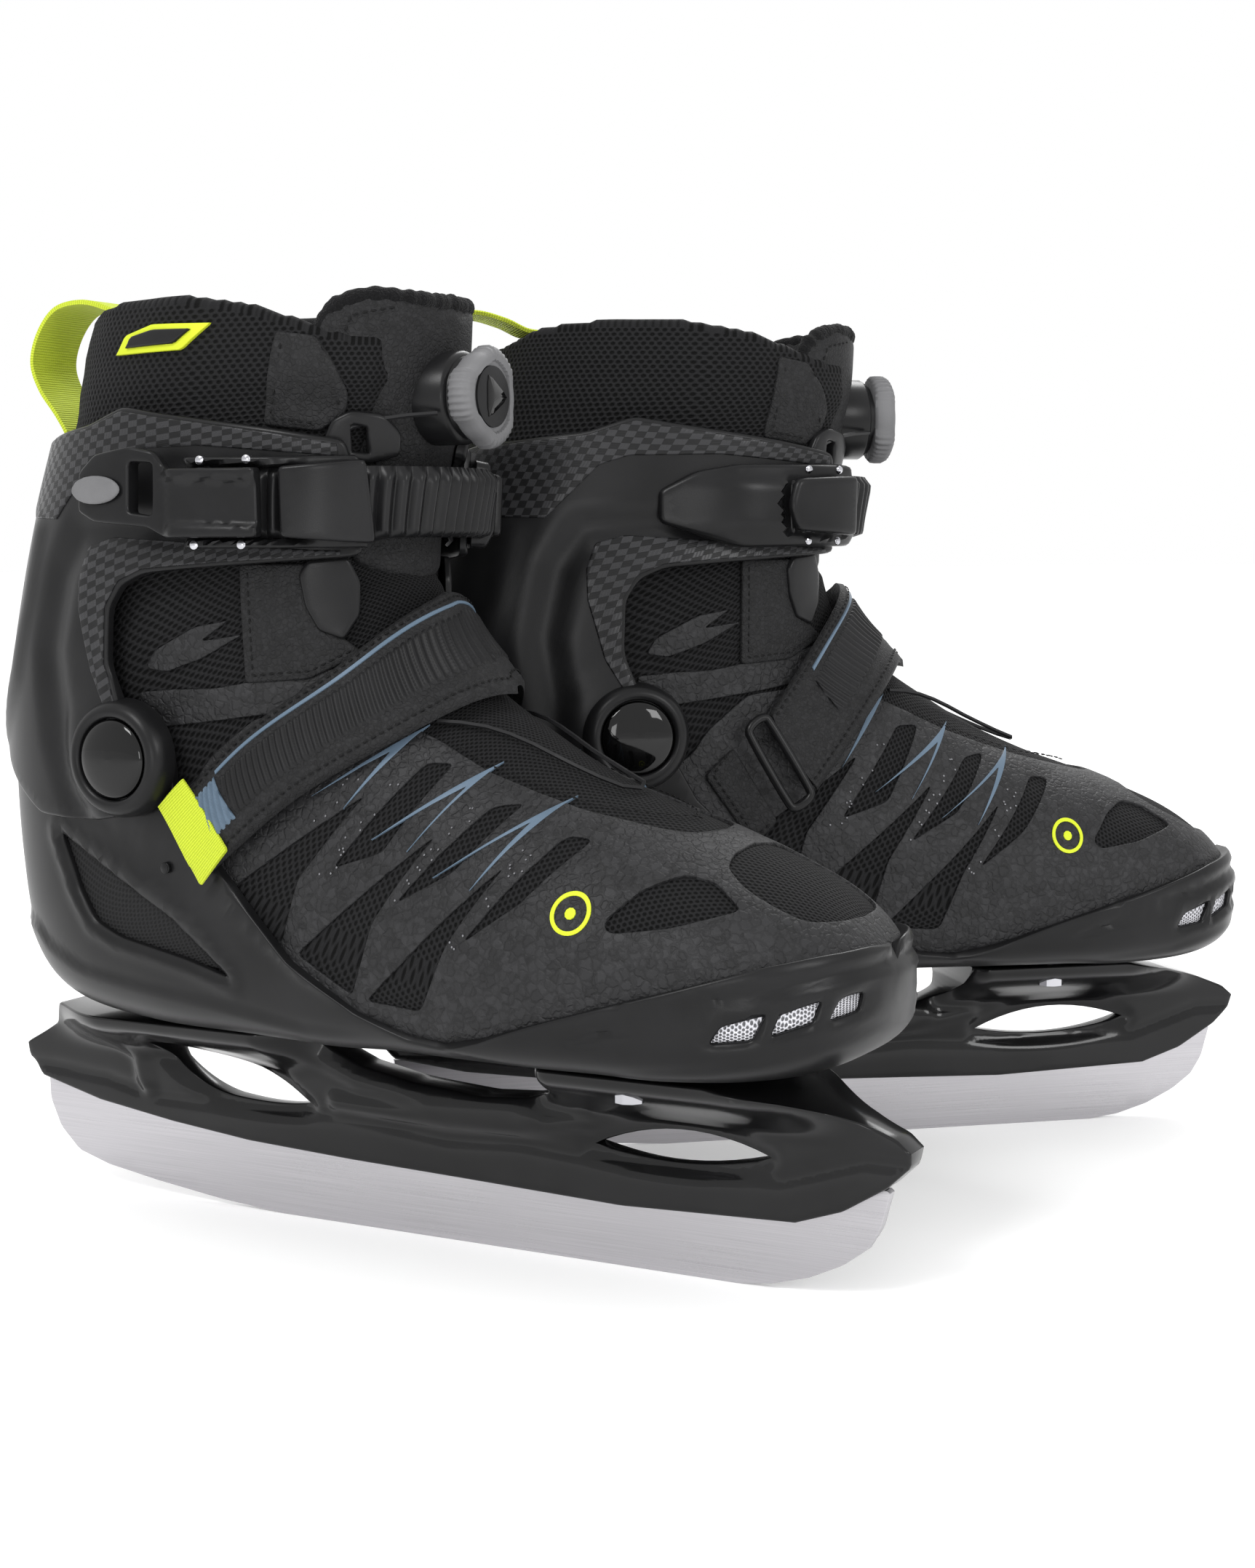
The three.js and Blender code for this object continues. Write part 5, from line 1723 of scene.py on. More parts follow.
# ---------------------------------------------------------------- the boot
@dataclass
class Upper:
    """Soft upper with its lining, tongue, overlays, prints and stitching."""

    wall: float = 4.2
    collar_wall: float = 7.0
    rim: Points2 = ((-70, 254), (-46, 258), (-38, 267), (-27, 272.6), (-5, 274.6), (17, 274.4), (40, 271), (56, 266),
                    (70, 262), (100, 262))
    outside: Points2 = ((171, 127), (168, 126), (162, 127), (150, 130), (138, 133), (126, 137), (111, 142.5),
                        (96, 150), (80, 157), (66, 160), (52, 158), (40, 157), (26, 146), (20, 138), (10, 132),
                        (14, 120), (26, 108), (42, 90), (60, 76), (95, 67), (122, 68), (145, 74), (165, 79),
                        (190, 86),
                        (212, 92), (217.4, 93))
    crown_window: Points2 = ((178, 122.4), (180, 118.6), (186, 114.4), (196, 109), (203, 105.4), (209.6, 104.4))
    slots: tuple[Points2, ...] = (((93, 145), (101, 145), (86, 121), (70, 116)),
                                  ((116, 134), (124, 135), (110, 117), (93, 108)),
                                  ((139, 127), (146, 126), (132, 110), (116, 99)))
    darts: tuple[Points2, ...] = (((77, 136), (58, 112), (52, 92), (34, 108)),
                                 ((102, 126), (85, 102), (78, 81), (58, 91)),
                                  ((125, 119), (110, 97), (102, 79), (83, 80)))
    toe_window: Points2 = ((156, 106), (164, 114.4), (172, 117.6), (180, 115.4), (189, 109), (173, 105), (158, 103.4))
    chevrons: tuple[Points2, ...] = (((90, 155), (60, 135), (82, 148), (71, 132)),
                                    ((113, 145), (82, 124), (107, 139), (94, 121)),
                                     ((135, 136), (104, 115), (128, 130), (116, 112)))
    ankle_band: Points2 = ((2, 164), (14, 165), (27, 165.4), (42, 168), (57, 170), (72, 174), (84, 167), (62, 161),
                           (47, 158.5), (27, 156), (10, 154), (3, 158))
    finger: Points2 = ((5, 171), (8, 176), (22, 183), (33, 185), (24, 179), (37, 181), (24, 174), (12, 170))
    eyestay: Points2 = ((37, 201), (37, 167), (55, 168), (68, 175), (58, 184), (56, 190), (58, 201))
    front_panel: Points2 = ((50, 266), (45, 240), (60, 238), (67, 243), (68, 249), (65, 258), (61, 264.4))
    label: Points2 = ((-6, 261.5), (-2, 267), (9, 269.6), (30, 269), (20, 261.8))
    plate: Points2 = ((-1, 263.2), (1, 266.4), (10, 268), (24, 267.6), (18, 263.6))
    emblem: tuple[float, float] = (147, 108)
    bend: tuple[tuple[float, float, float], tuple[float, float, float]] = ((60, 0, 150), (40, 0, 200))

    def rim_row(self, turn: Array) -> Array:
        """The row at which each angle's line crosses the collar's rim.

        Args:
            turn: angles in degrees.

        Returns:
            A row for each angle.
        """
        rows = np.linspace(14, 20, 241)
        spots = BOOT.point(np.tile(rows, len(turn)), np.repeat(turn, 241)).reshape(len(turn), 241, 3)
        over = spots[..., 2] > np.interp(spots[..., 0], *np.array(self.rim).T)
        return rows[np.argmax(over, axis=1)]

    def depth(self, row: Array) -> Array:
        """Wall thickness from foot to collar."""
        return self.wall + (self.collar_wall - self.wall) * smoothstep(12, 16, row)

    def puff(self, place: Array) -> Array:
        """Outer height of the soft wall: a padded crown over the cuff, a gutter for the tongue and soft folds.

        Args:
            place: (row, angle) pairs.

        Returns:
            Heights in mm.
        """
        points = BOOT.at(place, 0.0)
        top = np.interp(points[:, 0], *np.array(self.rim).T)
        turn = np.abs((place[:, 1] + 180) % 360 - 180)
        crown = 1.5 * smoothstep(243, 254, points[:, 2]) * (1 - smoothstep(-9, 0, points[:, 2] - top))
        gutter = 2.4 * smoothstep(12.4, 13.2, place[:, 0]) * (1 - smoothstep(30, 36, turn))
        folds = 0.25 * ripple(points, 22) * smoothstep(11, 14, place[:, 0])
        return 0.05 + crown + folds - gutter

    def skin(self) -> Shape:
        """Closed wall: out along the rows, over the rolled rim, back along the lining to the toe.

        Returns:
            The closed wall.
        """
        turn = np.linspace(-180, 180, 161)[:-1]
        rim = self.rim_row(turn)
        count, n = 120, len(turn)
        t = np.linspace(0, 1, count) ** 0.9
        rows = t[:, None] * rim[None]
        grid = np.stack([rows, np.tile(turn, (count, 1))], -1).reshape(-1, 2)
        deep = self.depth(grid[:, 0])
        puff = self.puff(grid)
        shell = BOOT.at(grid, puff).reshape(count, n, 3)
        folds = 0.5 * ripple(BOOT.at(grid, 0.0), 9, 4) * (grid[:, 0] > 12)
        lining = BOOT.at(grid, -deep + folds).reshape(count, n, 3)
        top = grid.reshape(count, n, 2)[-1]
        way, _ = BOOT.slopes(top[:, 0] - 0.05, top[:, 1])
        lift, out = unit(way), BOOT.normal(top[:, 0], top[:, 1])
        half = (self.depth(top[:, 0]) + puff.reshape(count, n)[-1]) / 2
        centre = (shell[-1] + lining[-1]) / 2
        roll = [centre + half[:, None] * (out * math.cos(a) + 0.8 * lift * math.sin(a))
                for a in np.radians([20, 45, 70, 90, 110, 135, 160])]
        stack = np.vstack([shell, np.array(roll), lining[::-1]])
        uv = np.vstack([BOOT.uv(grid).reshape(count, n, 2), np.repeat(BOOT.uv(top)[None], len(roll), 0),
                        BOOT.uv(grid).reshape(count, n, 2)[::-1]])
        m = len(stack)
        i, k = np.arange(m - 1)[:, None], np.arange(n)[None]
        ahead = (k + 1) % n
        quads = np.stack([i * n + k, i * n + ahead, (i + 1) * n + ahead, (i + 1) * n + k], -1).reshape(-1, 4)
        ends = np.stack([shell[0].mean(0), lining[0].mean(0)])
        points = np.vstack([stack.reshape(-1, 3), ends])
        uv = np.vstack([uv.reshape(-1, 2), np.zeros((2, 2))])
        k = np.arange(n)
        tip = np.stack([np.full(n, m * n), (k + 1) % n, k], 1)
        heel = np.stack([np.full(n, m * n + 1), (m - 1) * n + k, (m - 1) * n + (k + 1) % n], 1)
        paint = np.repeat((np.arange(m - 1) > count + 1).astype(int), n)
        return outward(Shape(points, [quads, tip, heel], uv, [paint, np.zeros(n, int), np.ones(n, int)]))

    def build(self, shop: Shop) -> None:
        """Makes the upper and everything sewn to it.

        Args:
            shop: where the pieces are made and dressed.
        """
        wall = shop.piece("boot_wall", self.skin(), [Paint.MESH, Paint.FLEECE], "cuff", ["boot_foot", "boot_collar"],
                          sharp=80, bend=self.bend)
        shop.keep(Paint.FLEECE, "footbed")
        holes = [turn(h, 1.6, 1.2) for turn in (outer, inner) for h in (*self.slots, *self.darts, self.toe_window)]
        sheet = panel(BOOT, [wrapped(self.outside, 1.5, 1.5), wrapped(self.crown_window, 1.0, 1.2), *holes], 0.02,
                      self.overlay_height, 0.35, 2.2)
        shop.piece("foot_overlay", sheet, Paint.LEATHER, "cuff", sharp=60, bend=self.bend)
        ankle = join([both(points, 0.02, 1.0, 0.4) for points in (self.ankle_band, self.finger)])
        shop.piece("ankle_overlay", ankle, Paint.LEATHER, "cuff", bend=self.bend)
        stay = both(self.eyestay, 0.3, 1.7, 0.7)
        shop.piece("eyestay", stay, Paint.SUEDE, "cuff", bend=self.bend)
        front = both(self.front_panel, lambda place, points: self.puff(place) - 0.6,
                     lambda place, points: self.puff(place) + 1.1, 0.7)
        shop.piece("collar_front", front, Paint.SUEDE, "cuff")
        print_parts = join([both(c, 0.5, 1.25, 0.1, 1.4, 0.4) for c in self.chevrons])
        shop.piece("chevrons", print_parts, Paint.PRINT, "cuff", bend=self.bend)
        self.small_parts(shop)

    def overlay_height(self, place: Array, points: Array) -> Array:
        """The bonded overlay, slightly swollen away from its cut edges."""
        flat = side_view(points)
        near = np.minimum.reduce([away(flat, loop_of(h)) for h in (*self.slots, *self.darts)])
        return 0.8 + 0.35 * smoothstep(0.5, 4.0, near) + 0.08 * ripple(points, 14, 8)

    def small_parts(self, shop: Shop) -> None:
        """Makes the emblem ring, the dots, the rim label and the rows of stitches.

        Args:
            shop: where the pieces are made and dressed.
        """
        turn = np.linspace(0, 2 * np.pi, 33)[:-1]
        x, z = self.emblem
        rings = [[(x + r * math.cos(t), z + r * math.sin(t)) for t in turn] for r in (5.5, 4.4, 1.5)]
        mark = join([shape for way in (outer, inner) for shape in (
            panel(BOOT, [way(rings[0], 0.1, 0.9), way(rings[1], 0.1, 0.9)], 0.8, 1.45, 0.1, 1.4),
            panel(BOOT, [way(rings[2], 0.1, 0.9)], 0.8, 1.45, 0.1, 1.4))])
        shop.piece("ring_mark", mark, Paint.LIME_PRINT, "chassis")
        draw = np.random.default_rng(12)
        rows = [((68, 112), (89, 142)), ((90, 105), (113, 133)), ((112, 97), (134, 125)), ((56, 116), (74, 141))]
        spots = []
        for a, b in rows:
            t = draw.uniform(0, 1, 16)[:, None]
            spots.append(np.array(a) * (1 - t) + np.array(b) * t + draw.uniform(-2.2, 2.2, (16, 2)))
        spot = np.vstack(spots)
        for hole in (*self.slots, *self.darts):
            spot = spot[~inside(spot, np.array(hole, float))]
        dots = []
        for side in (1, -1):
            place = BOOT.locate(spot[:, 0], spot[:, 1]) * [1, side]
            dots.append(beads(BOOT.at(place, 1.2), np.tile([1.0, 0.2, 0], (len(place), 1)),
                              BOOT.normal(place[:, 0], place[:, 1]), (0.34, 0.34, 0.14)))
        shop.piece("silver_dots", join(dots), Paint.SPECK, "cuff", bend=self.bend)
        lift = lambda extra: lambda place, points: self.puff(place) + extra
        shop.piece("rim_label", panel(BOOT, [outer(self.label, 0.8)], lift(-0.4), lift(1.2), 0.3, 1.8),
                   Paint.LIME_PRINT, "cuff")
        shop.piece("rim_plate", panel(BOOT, [outer(self.plate, 0.6)], lift(0.8), lift(2.2), 0.6, 1.6),
                   Paint.BUCKLE, "cuff")
        fixed, moving = [], []
        for side in (1, -1):
            for line in (((52, 263), (47.6, 242), (59, 240.4)), ((62.6, 262), (66, 252), (65.4, 246))):
                place = run_on_skin(line) * [1, side]
                moving.append(stitches(place, 2.2 if line[0][0] < 60 else 1.6))
            for line in (((39.4, 199), (39.4, 169.4), (55, 170.4), (65, 176)), ((55, 186), (55.4, 198))):
                fixed.append(stitches(run_on_skin(line) * [1, side], 1.75))
            fixed.append(stitches(run_on_skin(((100, 149), (112, 143.4), (127, 138), (139, 134), (152, 131.4),
                                               (163, 129))) * [1, side], 1.3, 3.0, 1.9))
        shop.piece("collar_stitches", join(moving), Paint.THREAD, "cuff")
        shop.piece("foot_stitches", join(fixed), Paint.THREAD, "cuff", bend=self.bend)


@dataclass
class Tongue:
    """Padded tongue with a fleece face on its inner side, and its stitched edges."""

    half: Points2 = ((75.5, 196), (66, 200), (60, 214), (58, 232), (60, 246), (62, 256), (60, 266), (64, 272.4),
                     (75, 276.4), (86.6, 274))

    def build(self, shop: Shop) -> None:
        """Makes the tongue, the pile on its top edge and the stitches.

        Args:
            shop: where the pieces are made and dressed.
        """
        pad = panel(BOOT, [wrapped(self.half, 2.0, 1.8)], -6.6,
                    lambda place, points: -0.9 + 0.35 * ripple(points, 26, 3), 2.4, 2.4)
        for obj in shop.piece("tongue_pad", pad, Paint.SUEDE, "cuff", ["tongue"], sharp=80,
                              bend=((75, 0, 194), (75, 0, 238))):
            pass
        edge = [(x, z) for x, z in self.half[3:]]
        top = over_instep(edge[2:], [(x, z) for x, z in edge[2:][::-1]], 150, 20)
        line = BOOT.at(top, -3.6)
        up = BOOT.normal(top[:, 0], top[:, 1])
        fuzz = 2.6 + 0.45 * ripple(line, 3.2, 6)
        roll = sweep(line, up, round_profile(1.0, 16))
        ring = np.repeat(np.arange(len(line)), 16)
        core = line[ring]
        roll.points[:len(ring)] = core + (roll.points[:len(ring)] - core) * fuzz[ring][:, None]
        for obj in shop.piece("tongue_fleece", roll, Paint.FLEECE, "cuff", sharp=80):
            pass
        rows = []
        for side in (1, -1):
            line = run_on_skin(((72, 226), (70, 238), (69.4, 250), (67, 262), (70, 270), (80, 272.4))) * [1, side]
            rows.append(stitches(line, -0.75))
        shop.piece("tongue_stitches", join(rows), Paint.THREAD, "cuff")


@dataclass
class PullLoop:
    """Webbing loop over the back of the collar."""

    width: float = 20.0
    thick: float = 1.5
    route: Points2 = ((-50.6, 238), (-51.6, 242), (-55.6, 248), (-61.6, 255.6), (-64.6, 264), (-61.6, 273),
                      (-54.6, 280), (-44, 281.6), (-34, 279.2), (-26, 275.8), (-16, 275.4))

    def build(self, shop: Shop) -> None:
        """Sweeps the band's section along its route.

        Args:
            shop: where the pieces are made and dressed.
        """
        line = spline(self.route, 110)
        path = np.stack([line[:, 0], np.zeros(len(line)), line[:, 1]], 1)
        ahead = np.gradient(path, axis=0)
        up = np.stack([-ahead[:, 2], np.zeros(len(path)), ahead[:, 0]], 1)
        inside_way = np.array([-40.0, 0, 262.0]) - path
        up *= np.where((up * inside_way).sum(1) > 0, -1, 1)[:, None]
        profile = band_profile(self.width, self.thick, 0.5, 18) - [0, self.thick / 2]
        shop.piece("webbing_loop", sweep(path, up, profile), Paint.LIME, "cuff", ["pull_loop"], sharp=60)


# ---------------------------------------------------------------- cuff and closures
@dataclass
class Cuff:
    """Hinged cuff with its bosses, caps and textured trim."""

    half: Points2 = ((-68, 149), (-58, 142), (-46, 134), (-35, 127), (-14, 126), (0, 128), (10, 131), (16, 143),
                     (12, 150), (1, 160), (-3.4, 172), (-2.5, 188), (2, 194.6), (10, 198), (66, 203.2), (66, 236.4),
                     (48, 239.4), (14, 244), (2, 246), (-12, 241), (-30, 238.5), (-42, 237), (-48.5, 233.6),
                     (-51.6, 227), (-53.4, 219))
    rim_trim: Points2 = ((64, 235.4), (48, 238.2), (14, 242.8), (2, 244.6), (-12, 239.8), (-30, 237.4), (-41, 235.6),
                         (-47, 231), (-49.5, 222), (-40, 214), (-25, 213.6), (-16, 223), (-9, 230.4), (0, 233.6),
                         (28, 234.4), (64, 231.8))
    opening_trim: Points2 = ((62, 204.9), (28, 206.6), (-2, 208.6), (-11, 206), (-14, 198), (-14, 188), (-9.5, 170),
                             (-3, 158.5), (-0.2, 160.6), (-4.4, 172), (-3.6, 188.4), (1.2, 195.8), (9.6, 199.2),
                             (62, 203.7))
    sweep_lines: tuple[Points2, ...] = (((-16, 128), (-24, 150), (-27, 176), (-22, 198), (-14, 210), (20, 211)),
                                        ((-60, 150), (-47, 168), (-40, 190), (-36, 210)))

    def height(self, place: Array, points: Array) -> Array:
        """The cuff's outer height: swollen to the boss, hollowed along two sculpted lines, thin at its edge.

        Args:
            place: (row, angle) pairs.
            points: the skin points at the places.

        Returns:
            Heights in mm.
        """
        flat = side_view(points)
        boss = np.linalg.norm(flat - [0, 145], axis=1)
        tall = 7.5 + 1.6 * (1 - smoothstep(15, 27, boss))
        tall -= 2.2 * (1 - smoothstep(0.0, 9.0, away(flat, self.sweep_lines[0]))) * smoothstep(17, 24, boss)
        tall += 1.2 * (1 - smoothstep(0.0, 7.0, away(flat, self.sweep_lines[1])))
        rim = away(flat, self.half[10:15])
        tall += 0.7 * (1 - smoothstep(0.0, 3.0, rim))
        return tall - self.slim(place)

    @staticmethod
    def slim(place: Array) -> Array:
        """How much closer the cuff hugs the heel at the back."""
        return 2.4 * smoothstep(115, 160, np.abs(place[:, 1]))

    def build(self, shop: Shop) -> None:
        """Makes the cuff, its bosses, caps and trim.

        Args:
            shop: where the pieces are made and dressed.
        """
        shell = panel(BOOT, [wrapped(self.half, 1.6, 1.6)], lambda place, points: 4.8 - self.slim(place), self.height,
                      1.1, 2.2)
        base = BOOT.half_width(0, 145)
        ring = lathe([(0.001, base + 5.2), (17.5, base + 5.2), (17.3, base + 8.8), (16.4, base + 11.4),
                      (15.2, base + 12.8), (13.8, base + 13.3), (12.6, base + 13.1), (12.0, base + 12.2),
                      (11.9, base + 10.2), (0.001, base + 10.2)], (0, 0, 145), "y", 72)
        shop.piece("cuff_shell", join([shell, ring, mirrored(ring)]), Paint.SHELL, "cuff", ["cuff"], sharp=48)
        arc = np.radians([0, 12, 26, 42, 58, 74, 89.9])
        crown = [(11.6 * math.cos(t), base + 12.3 + 2.3 * math.sin(t)) for t in arc]
        cap = lathe([(0.001, base + 10.4), (11.6, base + 10.4), *crown], (0, 0, 145), "y", 72)
        shop.piece("boss_caps", join([cap, mirrored(cap)]), Paint.CAP, "chassis",
                   ["pivot_lateral", "pivot_medial"], sharp=60)
        raised = lambda extra: lambda place, points: self.height(place, points) + extra
        trim = join([panel(BOOT, [turn(points, 0.8, 1.2)], raised(-1.4), raised(0.55), 0.45, 1.9)
                     for turn in (outer, inner) for points in (self.rim_trim, self.opening_trim)])
        shop.piece("check_trim", trim, Paint.CHECK, "cuff", sharp=50)


@dataclass
class Ratchet:
    """Buckle, lever, ribbed strap, and the release on the inner arm."""

    rib: float = 3.5
    tip_floor: float = 20.75        # just clear of the grip that the slide runs on
    middle: float = 17.0            # height at which the lever and the button pad are outlined
    strap_floor: float = 11.0       # height at which the ribbed strap is outlined
    base: Points2 = ((27, 205.4), (74, 205.4), (74, 230.8), (27, 230.8))
    lever: Points2 = ((53.2, 208.4), (25, 208.4), (20, 211.5), (2, 213), (-4, 216), (-4, 227), (2, 232), (14, 234),
                      (22, 232.4), (25, 227.6), (53.2, 227.6))
    window: Points2 = ((14, 215.6), (21.4, 214.6), (21.4, 229.4), (14, 229.8))
    plate: Points2 = ((57.6, 208.4), (78.6, 206.4), (78.6, 229.6), (57.6, 227.8))
    housing: Points2 = ((8, 213), (20, 209), (34, 205), (75.5, 205), (75.5, 231.2), (34, 231.2), (20, 229), (8, 223))
    button: Points2 = ((52, 210), (75, 208.4), (75, 227.8), (52, 226.6), (49.4, 218))

    def base_height(self, place: Array, points: Array) -> Array:
        """Floor with two upright cheeks."""
        x, z = side_view(points).T
        cheek = smoothstep(10.0, 11.2, np.abs(z - 218.1)) * (1 - smoothstep(50, 58, x)) * smoothstep(24, 30, x)
        return 10.3 + 4.9 * cheek

    def lever_height(self, place: Array, points: Array) -> Array:
        """Lever with side rails, a hinge roll and a swollen grip.

        Args:
            place: (row, angle) pairs.
            points: the skin points at the places.

        Returns:
            Heights in mm.
        """
        x, z = side_view(points).T
        rail = smoothstep(5.6, 7.2, np.abs(z - 218)) * smoothstep(23, 27, x)
        roll = np.exp(-((x - 50) / 3.2) ** 2)
        grip = 1 - smoothstep(8, 24, x)
        return 18.2 + 1.7 * rail + 1.2 * roll + 1.9 * grip - 0.9 * np.exp(-((x - 23) / 1.6) ** 2)

    def tip_crown(self, place: Array, points: Array) -> Array:
        """A low dome with five cross grooves."""
        x = side_view(points)[:, 0]
        return 21.6 + 0.3 * np.exp(-((x - 3.4) / 6) ** 2) - 0.16 * (np.cos(x * 2 * np.pi / 2.4) > 0.6)

    def ladder_height(self, run: Array, share: Array) -> Array:
        """Rounded ribs across the strap."""
        ribs = (0.5 + 0.5 * np.cos(run * 2 * np.pi / self.rib)) ** 0.6
        end = smoothstep(0.0, 0.1, share) * (1 - smoothstep(0.9, 1.0, share))
        return 11.9 + 1.9 * ribs * end

    def housing_height(self, place: Array, points: Array) -> Array:
        """A cone that rises forwards to the button's hood.

        Args:
            place: (row, angle) pairs.
            points: the skin points at the places.

        Returns:
            Heights in mm.
        """
        x, z = side_view(points).T
        round_off = 1 - 0.35 * smoothstep(5, 13, np.abs(z - 218))
        tall = 9.0 + 6.8 * smoothstep(4, 38, x) * round_off
        pad = inner(self.button, 1.6, 1.2, self.middle)
        under = inside(BOOT.flat(place), BOOT.flat(pad)) | (np.linalg.norm(
            BOOT.at(place, 0.0)[:, None] - BOOT.at(pad, 0.0)[None, ::2], axis=2).min(1) < 1.6)
        return np.where(under, np.minimum(tall, 13.4), tall)

    def build(self, shop: Shop) -> None:
        """Makes the pieces of the closure.

        Args:
            shop: where the pieces are made and dressed.
        """
        frame = panel(BOOT, [outer(self.base, 0.9, 1.3, 10.0)], 8.0, self.base_height, 0.7, 1.5)
        shop.piece("buckle_frame", frame, Paint.BUCKLE, "cuff", ["buckle_base"], sharp=40)
        cover = panel(BOOT, [outer(self.plate, 1.0, 1.3, 15.5)], 14.2, lambda place, points: 16.0 + 0.7 * np.exp(
            -((points[:, 0] - 60) / 6) ** 2), 1.0, 1.6)
        shop.piece("buckle_cover", cover, Paint.BUCKLE, "cuff", sharp=40)
        arm = panel(BOOT, [outer(self.lever, 0.9, 1.2, self.middle), outer(self.window, 0.9, 1.0, self.middle)], 14.6,
                    self.lever_height, 0.8, 1.5)
        shop.piece("lever_arm", arm, Paint.BUCKLE, "lever", ["buckle_lever"], sharp=40)
        turn = np.linspace(0, 2 * np.pi, 41)[:-1]
        oval = [(3.4 + 8.8 * math.cos(t), 222 + 4.0 * math.sin(t)) for t in turn]
        tip = panel(BOOT, [outer(oval, 0.1, 0.9, 19.0)], self.tip_floor, self.tip_crown, 0.7, 1.4)
        shop.piece("release_tip", tip, Paint.GREY, "lever_tip", ["buckle_tip"], sharp=60)
        pin = disc(1.35, -2.0, 0.3, 0.45, 0.4, 24)
        pins = join([stood(pin, x, z, 1, 15.2) for x, z in ((35, 229.9), (49, 229.9), (33, 206.4), (47, 206.4))])
        shop.piece("buckle_pins", pins, Paint.CHROME, "cuff")
        upper = over_instep(((31, 228), (56, 228), (80, 228), (89, 228)), ((89, 228), (80, 228), (48, 228)), 700, 8,
                            self.strap_floor)
        lower = over_instep(((31, 208), (56, 208), (78, 208), (86, 208)), ((86, 208), (78, 208), (48, 208)), 700, 8,
                            self.strap_floor)
        shop.piece("ribbed_strap", ribbon(upper, lower, 10.9, self.ladder_height, 13), Paint.BUCKLE, "cuff",
                   ["ladder_strap"], sharp=60)
        hood = panel(BOOT, [inner(self.housing, 1.6, 1.4, 12.0)], 8.0, self.housing_height, 1.4, 1.7)
        shop.piece("release_hood", hood, Paint.BUCKLE, "cuff", ["press_housing"], sharp=40)
        pad = panel(BOOT, [inner(self.button, 1.6, 1.2, self.middle)], 16.3,
                    lambda place, points: 19.3 - 0.5 * np.exp(-((points[:, 0] - 50) / 6) ** 2), 1.4, 1.5)
        shop.piece("release_pad", pad, Paint.BUCKLE, "button", ["press_button"], sharp=40)
        ends = join([stood(pin, x, z, -1, 13.6) for x, z in ((58, 229.6), (70, 229.6), (58, 206.8), (70, 206.8))])
        shop.piece("release_pins", ends, Paint.CHROME, "cuff")


@dataclass
class Lacing:
    """Lacing dial, guides and laces."""

    height: float = 248.0
    base: float = 13.4
    grip: float = 15.0
    front: float = 91.0
    crescent: Points2 = ((61, 236), (63.5, 241.5), (68, 244), (74.5, 243), (76.5, 238.5), (75, 231.5), (69.5, 229),
                         (63.5, 231))
    slot: Points2 = ((67, 232.6), (70, 232.2), (70.6, 239.4), (67.6, 240))
    middle: Points2 = ((53, 198), (55, 202), (64, 203), (66, 196), (66, 186), (63, 179), (57, 182), (54, 189))

    @staticmethod
    def wings(turn: Array, along: Array) -> Array:
        """Three lobes, with fine ribs on each."""
        lobe = 0.5 + 0.5 * np.cos(3 * turn)
        return 0.85 + 0.13 * smoothstep(0.1, 0.75, lobe) + 0.018 * np.cos(45 * turn) * smoothstep(0.3, 0.6, lobe)

    @staticmethod
    def triangle(turn: Array, along: Array) -> Array:
        """A rounded triangle."""
        part = np.mod(turn + math.pi / 3, 2 * math.pi / 3) - math.pi / 3
        return 0.5 / np.cos(part) * (1 - 0.12 * smoothstep(0.7, 1.05, np.abs(part))) * 1.6

    def build(self, shop: Shop) -> None:
        """Makes the dial, its grip and face, and the guides.

        Args:
            shop: where the pieces are made and dressed.
        """
        x, centre = self.front, (0, 0, self.height)
        seat = lathe([(0.001, x - 12), (self.base, x - 12), (self.base, x - 2.6), (self.base - 0.6, x - 1.6),
                      (self.base - 1.6, x - 1.2), (self.base - 1.9, x), (0.001, x)], centre, "x", 96)
        shop.piece("dial_seat", seat, Paint.BUCKLE, "cuff", ["dial_base"], sharp=40)
        g = self.grip
        grip = lathe([(0.001, x + 0.4), (g - 1.2, x + 0.4), (g - 0.2, x + 1.4), (g, x + 3.0), (g, x + 5.2),
                      (g - 0.8, x + 6.8), (g - 2.4, x + 7.6), (g - 4.2, x + 7.4), (g - 4.6, x + 6.6),
                      (0.001, x + 6.6)],
                     centre, "x", 270, self.wings)
        shop.piece("dial_grip", grip, Paint.GREY, "knob", ["dial_knob"], sharp=50)
        face = lathe([(0.001, x + 6.4), (8.8, x + 6.4), (8.7, x + 7.3), (8.0, x + 7.6),
                      (0.001, x + 7.5)], centre, "x",
                     72)
        shop.piece("dial_face", face, Paint.RUBBER, "knob", sharp=40)
        plate = lathe([(0.001, x + 7.2), (4.9, x + 7.2), (4.8, x + 7.8), (4.4, x + 8.0), (0.001, x + 8.0)], centre,
                      "x",
                      120, self.triangle)
        shop.piece("dial_plate", plate, Paint.CAP, "knob", sharp=40)
        shop.keep(Paint.GREY, "dial_spool")
        shop.keep(Paint.LACE, "lace_upper", "lace_lower")
        for name, way in (("lateral", outer), ("medial", inner)):
            guide = panel(BOOT, [way(self.crescent, 1.0, 1.1), way(self.slot, 0.5, 0.8)], -0.4, 3.2, 1.1, 1.5)
            shop.piece(f"lace_guide_{name}", guide, Paint.BUCKLE, "cuff", [f"guide_upper_{name}"], sharp=50)
        mids = join([panel(BOOT, [way(self.middle, 1.0, 1.1)], 0.6, 3.0, 1.1, 1.5) for way in (outer, inner)])
        shop.piece("middle_guides", mids, Paint.BUCKLE, "cuff", sharp=50, bend=((60, 0, 150), (40, 0, 200)))


